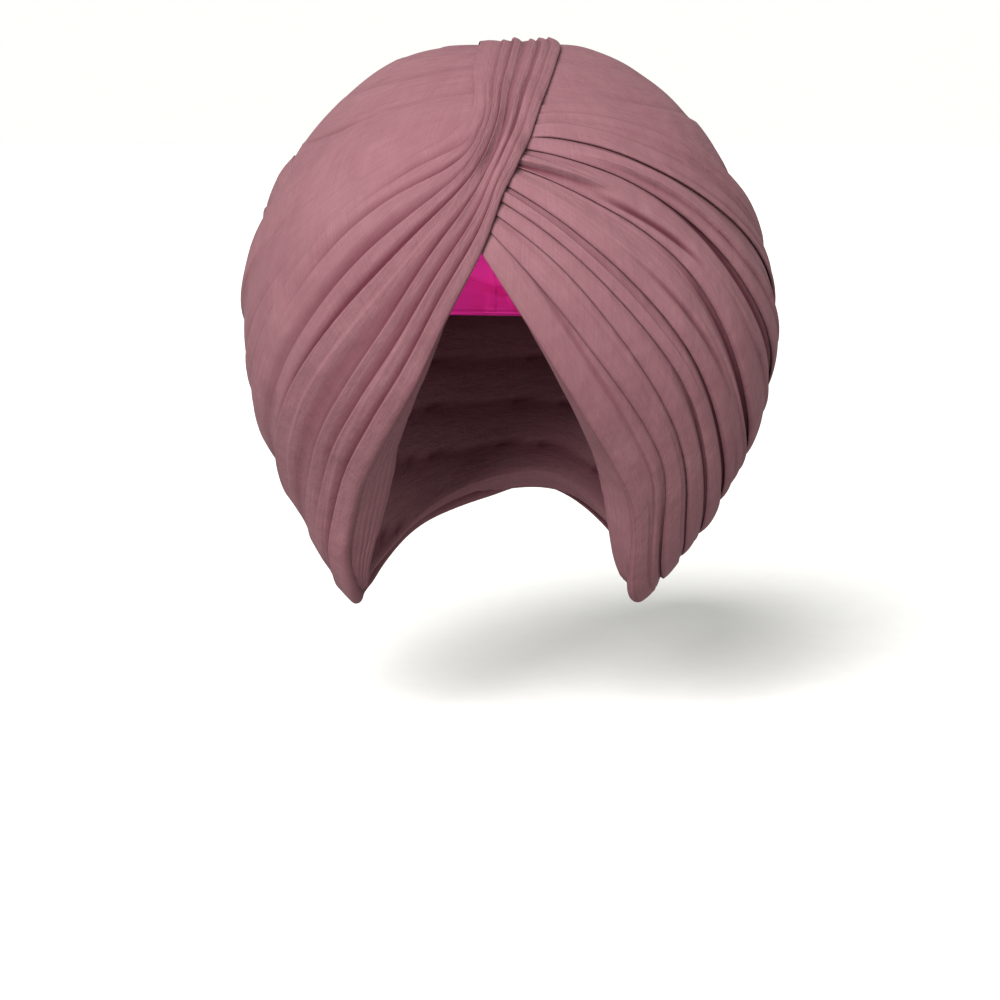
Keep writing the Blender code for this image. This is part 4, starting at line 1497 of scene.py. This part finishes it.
# Pleats of the last turn. Stations count along FINAL_SECTIONS: the crossing at the front is near
# station 17 and the crown is from 20 to 23
FINAL_FOLDS: tuple[Fold, ...] = (
    # The fan on the left side, from the border upwards, drawn together at the crossing
    Fold(
        FoldKind.PLEAT_UP, ((8.5, 0.12), (14.0, 0.10), (17.3, 0.11), (21.0, 0.10), (30.0, 0.13)),
        1.05, 1.5, (0.20, 0.25),
    ),
    Fold(
        FoldKind.PLEAT_UP, ((10.5, 0.25), (14.0, 0.22), (17.3, 0.23), (21.0, 0.22), (29.0, 0.28)),
        1.00, 1.3, (0.18, 0.25),
    ),
    Fold(
        FoldKind.PLEAT_UP, ((9.5, 0.37), (14.0, 0.33), (17.3, 0.36), (21.0, 0.33), (30.0, 0.42)),
        1.00, 1.3, (0.22, 0.25),
    ),
    Fold(
        FoldKind.PLEAT_UP, ((9.5, 0.61), (14.0, 0.58), (17.3, 0.49), (21.0, 0.55), (28.0, 0.57)),
        1.80, 1.9, (0.16, 0.35),
    ),
    Fold(
        FoldKind.PLEAT_UP,
        ((12.0, 0.74), (15.0, 0.69), (17.3, 0.61), (19.0, 0.64), (21.0, 0.68), (30.0, 0.72)),
        0.95, 1.2, (0.18, 0.25),
    ),
    Fold(
        FoldKind.PLEAT_UP, ((12.5, 0.89), (15.5, 0.83), (17.3, 0.71), (18.4, 0.72), (20.0, 0.76)),
        0.90, 1.4, (0.40, 0.25),
    ),
    Fold(
        FoldKind.PLEAT_UP, ((14.5, 0.95), (16.5, 0.88), (17.6, 0.80), (18.6, 0.80)),
        0.60, 1.2, (0.45, 0.30),
    ),
    # Soft furrows and ridges between them
    Fold(FoldKind.HOLLOW, ((10.0, 0.45), (13.5, 0.44), (16.5, 0.43)), 0.60, 0.9, (0.3, 0.4)),
    Fold(FoldKind.ROLL, ((9.5, 0.66), (12.5, 0.65), (15.5, 0.64)), 0.40, 1.0, (0.3, 0.5)),
    Fold(FoldKind.HOLLOW, ((8.5, 0.79), (11.5, 0.79), (15.0, 0.76)), 0.55, 1.3, (0.3, 0.5)),
    Fold(FoldKind.PLEAT_UP, ((8.0, 0.92), (10.5, 0.93), (14.0, 0.93)), 0.40, 1.5, (0.3, 0.5)),
    Fold(FoldKind.HOLLOW, ((10.0, 0.17), (12.5, 0.16), (15.0, 0.17)), 0.30, 0.6, (0.3, 0.5)),
    Fold(FoldKind.HOLLOW, ((11.5, 0.29), (14.0, 0.28), (17.2, 0.30)), 0.35, 0.5, (0.3, 0.4)),
    Fold(FoldKind.PLEAT_UP, ((11.0, 0.51), (13.5, 0.50), (16.8, 0.43)), 0.45, 0.8, (0.4, 0.3)),
    # Over the crown: a broad furrow beside the flat left strip and a narrow one beside the border
    Fold(FoldKind.HOLLOW, ((17.2, 0.43), (19.0, 0.44), (21.0, 0.45), (24.5, 0.46)), 1.10, 0.8),
    Fold(FoldKind.HOLLOW, ((17.6, 0.30), (19.0, 0.27), (21.0, 0.27), (25.5, 0.30)), 0.80, 0.4),
    Fold(FoldKind.ROLL, ((18.0, 0.86), (20.0, 0.84), (23.0, 0.84), (27.0, 0.86)), 0.70, 1.5),
    # The start of the turn, over the upper right side
    Fold(FoldKind.PLEAT_UP, ((0.0, 0.30), (2.4, 0.34), (4.8, 0.42)), 0.35, 0.8, (0.05, 0.5)),
    Fold(FoldKind.PLEAT_UP, ((0.2, 0.68), (2.6, 0.68), (5.2, 0.72)), 0.30, 0.8, (0.1, 0.5)),
    Fold(FoldKind.HOLLOW, ((1.4, 0.14), (3.4, 0.16), (5.4, 0.20)), 0.50, 0.7, (0.4, 0.5)),
    # Low round the back
    Fold(FoldKind.PLEAT_UP, ((4.0, 0.58), (6.5, 0.52), (10.0, 0.46)), 0.80, 1.1, (0.3, 0.3)),
    Fold(FoldKind.PLEAT_DOWN, ((5.0, 0.82), (7.5, 0.78), (10.5, 0.73)), 0.75, 1.1, (0.3, 0.3)),
    Fold(FoldKind.HOLLOW, ((5.5, 0.28), (7.5, 0.32), (10.5, 0.37)), 0.80, 1.0, (0.3, 0.4)),
    Fold(FoldKind.PLEAT_UP, ((5.5, 0.14), (8.0, 0.20), (11.0, 0.19)), 0.60, 1.0, (0.3, 0.4)),
    Fold(FoldKind.PLEAT_DOWN, ((6.0, 0.66), (8.5, 0.64), (11.5, 0.68)), 0.60, 1.0, (0.3, 0.4)),
)


@dataclass
class FinalTurn:
    """The last turn, laid in three stretches, as it passes over its own start and its tucked end."""

    body: WoundBody
    pile: Pile
    steps: int = 13
    columns: int = 228
    # The station up to which the start is laid by itself, and the one from which the tucked end is
    crossing: int = 7
    tucked: int = 27
    # Rows over which two stretches ease into each other
    join: int = 6
    # Share of the full fold height, by station
    fold_heights: Rows = ((0, 1.0), (14, 1.1), (17, 1.2), (18.5, 0.85), (20.5, 0.50), (30, 0.50))
    flat: Span = (0.089, 1.00)
    stray_seed: int = 70
    stray_count: int = 12
    stray_height: float = 0.28

    def __post_init__(self) -> None:
        """Sets out the turn."""
        rows = np.asarray(FINAL_SECTIONS, float)
        rim = np.clip(smooth_rows(rows[:, 4], self.steps), 0, 1)
        station = np.arange(len(rim)) / self.steps
        strays = stray_folds(
            self.stray_seed, len(rows) - 1, self.stray_count, self.stray_height
        )
        self.turn = Turn(
            name="final_turn_cloth",
            node="final_turn",
            body=self.body,
            pile=self.pile,
            lower=border_line(rows[:, 0], rows[:, 1], self.steps),
            upper=border_line(rows[:, 2], rows[:, 3], self.steps),
            steps=self.steps,
            columns=self.columns,
            flat=self.flat,
            upper_hem=True,
            rim_share=rim,
            seat_reach=0.0024,
            fold_height=0.0017,
            fold_width=0.0042,
            fold_share=np.interp(station, *np.transpose(self.fold_heights)),
            folds=[*FINAL_FOLDS, *strays],
        )
        self.last_start = self.crossing * self.steps
        self.first_tail = self.tucked * self.steps

    def _add_rows(self, rows: slice) -> None:
        """Adds a stretch of the turn to the pile."""
        stretch = self.turn.points()[0][rows]
        self.pile.add(stretch, grid_quads(*stretch.shape[:2]))

    def lay_tail(self) -> None:
        """Lays the tucked end, before the turn that covers it."""
        first = self.first_tail - self.join
        self.turn.rise[first:] = self.turn.lay(first)
        self._add_rows(slice(self.first_tail + self.join, None))

    def lay_start(self) -> None:
        """Lays the stretch from the front to the back."""
        last = self.last_start + self.join
        self.turn.rise[:last] = self.turn.lay(0, last)
        self._add_rows(slice(0, self.last_start - self.join))

    def build(self) -> bpy.types.Object:
        """Lays the rest over everything and eases it into the other two stretches.

        Returns:
            The finished object.
        """
        first = self.last_start - self.join
        last = self.first_tail + self.join
        laid = self.turn.lay(first, last)
        held = self.turn.rise[first:last].copy()
        row = np.arange(first, last)
        ease_in = smooth_step(self.last_start, self.last_start + self.join, row)
        ease_out = 1 - smooth_step(self.first_tail - self.join, self.first_tail, row)
        share = (ease_in * ease_out)[:, None, None]
        self.turn.rise[first:last] = held * (1 - share) + laid * share
        return self.turn.make()


# Shaders


class Wire:
    """A shader value that works like a number: each operator adds a Math node."""

    def __init__(self, graph: "Graph", socket: bpy.types.NodeSocket) -> None:
        """Keeps the output and the graph that it is in."""
        self.graph = graph
        self.socket = socket

    def _math(self, operation: str, *values: "Wire | float") -> "Wire":
        """Adds one Math node."""
        return self.graph.node("ShaderNodeMath", {"operation": operation}, dict(enumerate(values)))

    def __add__(self, other: "Wire | float") -> "Wire":
        """The sum."""
        return self._math("ADD", self, other)

    __radd__ = __add__

    def __sub__(self, other: "Wire | float") -> "Wire":
        """The difference."""
        return self._math("SUBTRACT", self, other)

    def __rsub__(self, other: float) -> "Wire":
        """The difference from a number."""
        return self._math("SUBTRACT", other, self)

    def __mul__(self, other: "Wire | float") -> "Wire":
        """The product."""
        return self._math("MULTIPLY", self, other)

    __rmul__ = __mul__

    def sine(self) -> "Wire":
        """The sine of an angle in radians."""
        return self._math("SINE", self)

    def held(self) -> "Wire":
        """The value kept from 0 to 1."""
        return self._math("MINIMUM", self._math("MAXIMUM", self, 0.0), 1.0)


@dataclass(frozen=True)
class Noise:
    """A smooth noise: its scale, how fine it goes, and how much finer it is one way than another."""

    scale: float = 1.0
    detail: float = 1.0
    roughness: float = 0.5
    stretch: Scale | None = None


class Graph:
    """The node tree of one material."""

    # Numbers of a Mix node's colour sockets, whose names its other sockets share
    MIX_SHARE = 0
    MIX_FIRST = 6
    MIX_SECOND = 7
    MIX_RESULT = 2

    def __init__(self, name: str) -> None:
        """Starts a material with the shader that every new one has.

        Args:
            name: the material's name.
        """
        self.material = bpy.data.materials.new(name)
        self.material.use_nodes = True
        self.tree = self.material.node_tree
        self.surface = next(
            node for node in self.tree.nodes if node.bl_idname == "ShaderNodeBsdfPrincipled"
        )

    def node(
        self,
        kind: str,
        settings: dict[str, object] | None = None,
        values: dict[str | int, object] | None = None,
        output: str | int = 0,
    ) -> Wire:
        """Adds a node.

        Args:
            kind: the node's type.
            settings: its own settings, set before its sockets are filled.
            values: a value or a wire for each socket, by name or number.
            output: which output to hand back.

        Returns:
            The output as a wire.
        """
        made = self.tree.nodes.new(kind)
        for key, value in (settings or {}).items():
            setattr(made, key, value)
        for key, value in (values or {}).items():
            self.fill(made.inputs[key], value)
        return Wire(self, made.outputs[output])

    def fill(self, socket: bpy.types.NodeSocket, value: object) -> None:
        """Gives a socket what it is to carry.

        Args:
            socket: the socket.
            value: a wire, a number, or a colour or vector of three numbers.
        """
        if isinstance(value, Wire):
            self.tree.links.new(value.socket, socket)
        elif isinstance(value, tuple) and len(value) == 3 and socket.type == "RGBA":
            socket.default_value = (*value, 1.0)
        else:
            socket.default_value = value

    def kept(self, name: str, output: str) -> Wire:
        """Reads an attribute kept on the mesh."""
        return self.node("ShaderNodeAttribute", {"attribute_name": name}, output=output)

    def noise(self, place: Wire, noise: Noise) -> Wire:
        """Adds smooth noise.

        Args:
            place: where it is read.
            noise: its settings.

        Returns:
            The noise, about 0.5.
        """
        if noise.stretch is not None:
            factors = {0: place, 1: noise.stretch}
            place = self.node("ShaderNodeVectorMath", {"operation": "MULTIPLY"}, factors)
        values = {"Scale": noise.scale, "Detail": noise.detail, "Roughness": noise.roughness}
        return self.node("ShaderNodeTexNoise", None, {"Vector": place, **values})

    def mixed(self, share: Wire, first: Wire | Colour, second: Wire | Colour) -> Wire:
        """A colour between two others."""
        values = {self.MIX_SHARE: share, self.MIX_FIRST: first, self.MIX_SECOND: second}
        return self.node("ShaderNodeMix", {"data_type": "RGBA"}, values, self.MIX_RESULT)

    def bumped(self, height: Wire, distance: float, strength: float, under: Wire | None = None) -> Wire:
        """Bends the normal by a height.

        Args:
            height: the height, as a share of the distance.
            distance: metres to a height of one.
            strength: share of the bend that is kept.
            under: a normal that is bent already.

        Returns:
            The bent normal.
        """
        values = {"Height": height, "Distance": distance, "Strength": strength}
        if under is not None:
            values["Normal"] = under
        return self.node("ShaderNodeBump", None, values)

    def surfaced(self, **values: Wire | float) -> bpy.types.Material:
        """Fills the sockets of the shader.

        Args:
            values: what each socket is to carry, by its name with underscores for spaces.

        Returns:
            The material.
        """
        for name, value in values.items():
            self.fill(self.surface.inputs[name.replace("_", " ")], value)
        return self.material


@dataclass(frozen=True)
class Weave:
    """A plain weave: two sets of threads that pass over and under each other."""

    pitch: float = 0.00042
    # Shares of the height that the threads and their finer strands have
    threads_share: float = 0.35
    strands_share: float = 0.15
    # Length and width of the thick and thin places of a thread
    slub_long: float = 0.030
    slub_wide: float = 0.0006

    def height(self, graph: Graph, threads: Wire) -> Wire:
        """Works out the height of the threads.

        Args:
            graph: the material's graph.
            threads: places along and across the cloth, in metres.

        Returns:
            The height, from 0 to 1.
        """
        turn = math.pi / self.pitch
        along = graph.node("ShaderNodeSeparateXYZ", None, {0: threads}, "X")
        across = Wire(graph, along.socket.node.outputs["Y"])
        crossing = (along * turn).sine() * (across * turn).sine()
        fine = (along * (2 * turn)).sine() * (across * (2 * turn)).sine()
        return (crossing * self.threads_share + fine * self.strands_share + 0.5).held()

    def slubs(self, graph: Graph, threads: Wire) -> Wire:
        """Works out the long thick and thin places of the threads both ways.

        Args:
            graph: the material's graph.
            threads: places along and across the cloth, in metres.

        Returns:
            How thick the threads are, about 0.5.
        """
        along = graph.noise(threads, Noise(stretch=(1 / self.slub_long, 1 / self.slub_wide, 1.0)))
        across = graph.noise(threads, Noise(stretch=(1 / self.slub_wide, 1 / self.slub_long, 1.0)))
        return (along + across) * 0.5


@dataclass(frozen=True)
class ClothFinish:
    """Matte woven cotton, with painted shade in its creases and between its threads."""

    name: str
    colour: Colour
    worn: Colour
    # Painted shade: the darker colour laid into creases, hems and the gaps between threads
    painted_shade_colour: Colour
    roughness: float = 0.88
    sheen: float = 0.01
    sheen_roughness: float = 0.5
    gloss: float = 0.05
    ior: float = 1.4
    weave: Weave = Weave()
    # Noise through the whole turban, and along and across the cloth
    broad: Noise = Noise(14.0, 2.0)
    mottle: Noise = Noise(90.0, 3.0, 0.6)
    crumple: Noise = Noise(42.0, 2.0, 0.45)
    wrinkle: Noise = Noise(1.0, 3.0, 0.6, (70.0, 240.0, 1.0))
    pucker: Noise = Noise(1.0, 2.0, 0.5, (420.0, 900.0, 1.0))
    # How worn the cloth is: everywhere, and by each noise and the threads
    worn_share: float = 0.4
    broad_fading: float = 1.2
    mottle_fading: float = 0.9
    slub_fading: float = 1.8
    # How much of the painted shade colour shows between the threads and in the creases
    gap_share: float = 0.30
    crease_shade_share: float = 0.9
    roughness_change: float = 0.12
    # Heights of the wrinkles against the crumples, and of the threads and their slubs
    wrinkle_height: float = 0.45
    pucker_height: float = 0.07
    thread_height: float = 0.6
    slub_height: float = 0.8
    # Metres to a height of one, and the strength, of the crumples and of the threads
    crumple_rise: float = 0.0022
    crumple_strength: float = 0.8
    thread_rise: float = 0.00012
    thread_strength: float = 0.7

    def material(self) -> bpy.types.Material:
        """Builds the material.

        Returns:
            The material.
        """
        graph = Graph(self.name)
        threads = graph.kept("threads", "Vector")
        # Painted shade kept on the mesh: how deep a place lies in a crease, a hem or between layers
        depth = graph.kept("depth", "Fac")
        place = graph.node("ShaderNodeTexCoord", output="Object")
        mottle = graph.noise(place, self.mottle) - 0.5
        slubs = self.weave.slubs(graph, threads)
        weave = self.weave.height(graph, threads)
        # Colour: broad fading, small mottling, uneven threads, then painted shade between the threads
        # and in the creases
        fading = (graph.noise(place, self.broad) - 0.5) * self.broad_fading
        fading = fading + mottle * self.mottle_fading + (slubs - 0.5) * self.slub_fading
        colour = graph.mixed((fading + self.worn_share).held(), self.colour, self.worn)
        # Painted shade: darker between the threads and in the creases
        gaps = (0.5 - weave) * self.gap_share + depth * self.crease_shade_share
        # Relief: soft crumples, fine wrinkles, then the threads themselves
        wrinkle = graph.noise(threads, self.wrinkle) * self.wrinkle_height
        pucker = graph.noise(threads, self.pucker) * self.pucker_height
        height = graph.noise(place, self.crumple) + wrinkle + pucker
        soft = graph.bumped(height, self.crumple_rise, self.crumple_strength)
        relief = weave * self.thread_height + slubs * self.slub_height
        return graph.surfaced(
            # The base colour carries the painted shade
            Base_Color=graph.mixed(gaps.held(), colour, self.painted_shade_colour),
            Roughness=(self.roughness + mottle * self.roughness_change).held(),
            Normal=graph.bumped(relief, self.thread_rise, self.thread_strength, soft),
            Sheen_Weight=self.sheen,
            Sheen_Roughness=self.sheen_roughness,
            Specular_IOR_Level=self.gloss,
            IOR=self.ior,
        )


# Each finish's deep colour is painted shade, laid into its creases, hems and thread gaps
VOILE = ClothFinish(
    name="mauve cotton voile",
    colour=(0.110, 0.048, 0.057),
    worn=(0.140, 0.068, 0.077),
    painted_shade_colour=(0.048, 0.009, 0.015),
)
# The same cloth as the voile, a little darker all over as painted shade for the hollow
INNER_COTTON_SHADED = ClothFinish(
    name="inner cotton painted darker",
    colour=(0.108, 0.047, 0.056),
    worn=(0.136, 0.065, 0.074),
    painted_shade_colour=(0.046, 0.009, 0.015),
)
BAND_COTTON = ClothFinish(
    name="magenta cotton",
    colour=(0.900, 0.036, 0.380),
    worn=(0.940, 0.044, 0.420),
    painted_shade_colour=(0.500, 0.010, 0.170),
    crumple_rise=0.0006,
)


@dataclass(frozen=True)
class PaperFinish:
    """Plain pale paper with a faint grain."""

    name: str = "pale paper"
    colour: Colour = (0.50, 0.50, 0.49)
    shade: Colour = (0.47, 0.47, 0.46)
    roughness: float = 0.9
    grain: Noise = Noise(60.0, 3.0)
    tooth: Noise = Noise(400.0, 2.0)
    tooth_rise: float = 0.0002
    tooth_strength: float = 0.3

    def material(self) -> bpy.types.Material:
        """Builds the material.

        Returns:
            The material.
        """
        graph = Graph(self.name)
        place = graph.node("ShaderNodeTexCoord", output="Object")
        tooth = graph.noise(place, self.tooth)
        return graph.surfaced(
            Base_Color=graph.mixed(graph.noise(place, self.grain), self.colour, self.shade),
            Normal=graph.bumped(tooth, self.tooth_rise, self.tooth_strength),
            Roughness=self.roughness,
        )


# Surroundings


@dataclass(frozen=True)
class Floor:
    """A wide plain floor beneath the turban."""

    half: float = 15.0
    below: float = 0.060
    finish: PaperFinish = PaperFinish()

    def make(self) -> bpy.types.Object:
        """Builds the floor under the lowest point of the turban.

        Returns:
            The floor.
        """
        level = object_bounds()[0].z - self.below
        sides = ((-1, -1), (1, -1), (1, 1), (-1, 1))
        corners = [(x * self.half, y * self.half, level) for x, y in sides]
        made = mesh_object("floor", np.array(corners), [[0, 1, 2, 3]])
        made.data.materials.append(self.finish.material())
        made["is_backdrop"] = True
        return made


@dataclass(frozen=True)
class SoftSun:
    """A distant broad light, even over the turban and the floor, with its angles in degrees."""

    name: str
    bearing: float
    elevation: float
    strength: float
    spread: float
    colour: Colour = (1.0, 1.0, 1.0)

    def make(self) -> bpy.types.Object:
        """Places the light.

        Returns:
            The light.
        """
        light = bpy.data.lights.new(self.name, "SUN")
        light.energy = self.strength
        light.angle = math.radians(self.spread)
        light.color = self.colour
        made = bpy.data.objects.new(self.name, light)
        way = unit_direction(self.bearing, self.elevation)
        made.location = BODY_CENTRE + way
        made.rotation_euler = Vector(-way).to_track_quat("-Z", "Y").to_euler()
        bpy.context.scene.collection.objects.link(made)
        return made


@dataclass(frozen=True)
class Studio:
    """Soft light from the upper left front and an even pale surround."""

    surround: Colour = (1.0, 1.0, 0.975)
    surround_strength: float = 1.0
    key: SoftSun = SoftSun(
        name="key", bearing=-14, elevation=34, strength=9.6, spread=34, colour=(1.0, 0.99, 0.98)
    )

    def make(self) -> None:
        """Sets the surround and places the light."""
        world = bpy.data.worlds.new("studio")
        world.use_nodes = True
        background = next(
            node for node in world.node_tree.nodes if node.bl_idname == "ShaderNodeBackground"
        )
        background.inputs["Color"].default_value = (*self.surround, 1.0)
        background.inputs["Strength"].default_value = self.surround_strength
        bpy.context.scene.world = world
        self.key.make()
        bpy.context.scene.view_settings.view_transform = "Standard"


@dataclass(frozen=True)
class PhotoCamera:
    """The camera at the photograph's angle, a little above the middle and to the right."""

    bearing: float = 6.0
    elevation: float = 4.5
    away: float = 1.3
    # Focal length and width of the picture behind it, in millimetres
    lens: float = 98.5
    sensor: float = 36.0
    # Degrees by which it aims past the middle of the body
    aim_down: float = 3.95
    aim_side: float = -0.17

    def make(self) -> bpy.types.Object:
        """Places the camera and makes it the scene's own.

        Returns:
            The camera.
        """
        data = bpy.data.cameras.new("camera")
        data.lens = self.lens
        data.sensor_width = self.sensor
        made = bpy.data.objects.new("camera", data)
        way = unit_direction(self.bearing, self.elevation)
        made.location = BODY_CENTRE + way * self.away
        aim = unit_direction(self.bearing + 180 - self.aim_side, -self.elevation - self.aim_down)
        made.rotation_euler = Vector(aim).to_track_quat("-Z", "Y").to_euler()
        bpy.context.scene.collection.objects.link(made)
        bpy.context.scene.camera = made
        return made


def main() -> None:
    """Builds every piece in the order in which the cloth lies, then the studio round it."""
    logging.basicConfig(level=logging.INFO, format="%(name)s: %(message)s")
    body = WoundBody()
    pile = Pile()
    upper = UpperTurns(body, pile)
    right = RightTurns(body, pile)
    final = FinalTurn(body, pile)
    voile = VOILE.material()
    dressed = [
        (InnerTurns(body, pile).make(), INNER_COTTON_SHADED.material()),
        (UnderBand(body, pile).make(), BAND_COTTON.material()),
        (CrownCover(body, pile).build(), voile),
    ]
    for number in range(1, len(UPPER_TURNS)):
        dressed.append((upper.build(number), voile))
    final.lay_tail()
    dressed.append((upper.build(len(UPPER_TURNS)), voile))
    for number in range(1, len(RIGHT_CREASES)):
        dressed.append((right.build(number), voile))
    final.lay_start()
    dressed.append((final.build(), voile))
    for made, material in dressed:
        made.data.materials.append(material)
        LOG.info("%s: %d faces, %.4f m2", made.name, len(made.data.polygons), mesh_area(made))
    Floor().make()
    Studio().make()
    PhotoCamera().make()


if __name__ == "__main__":
    main()
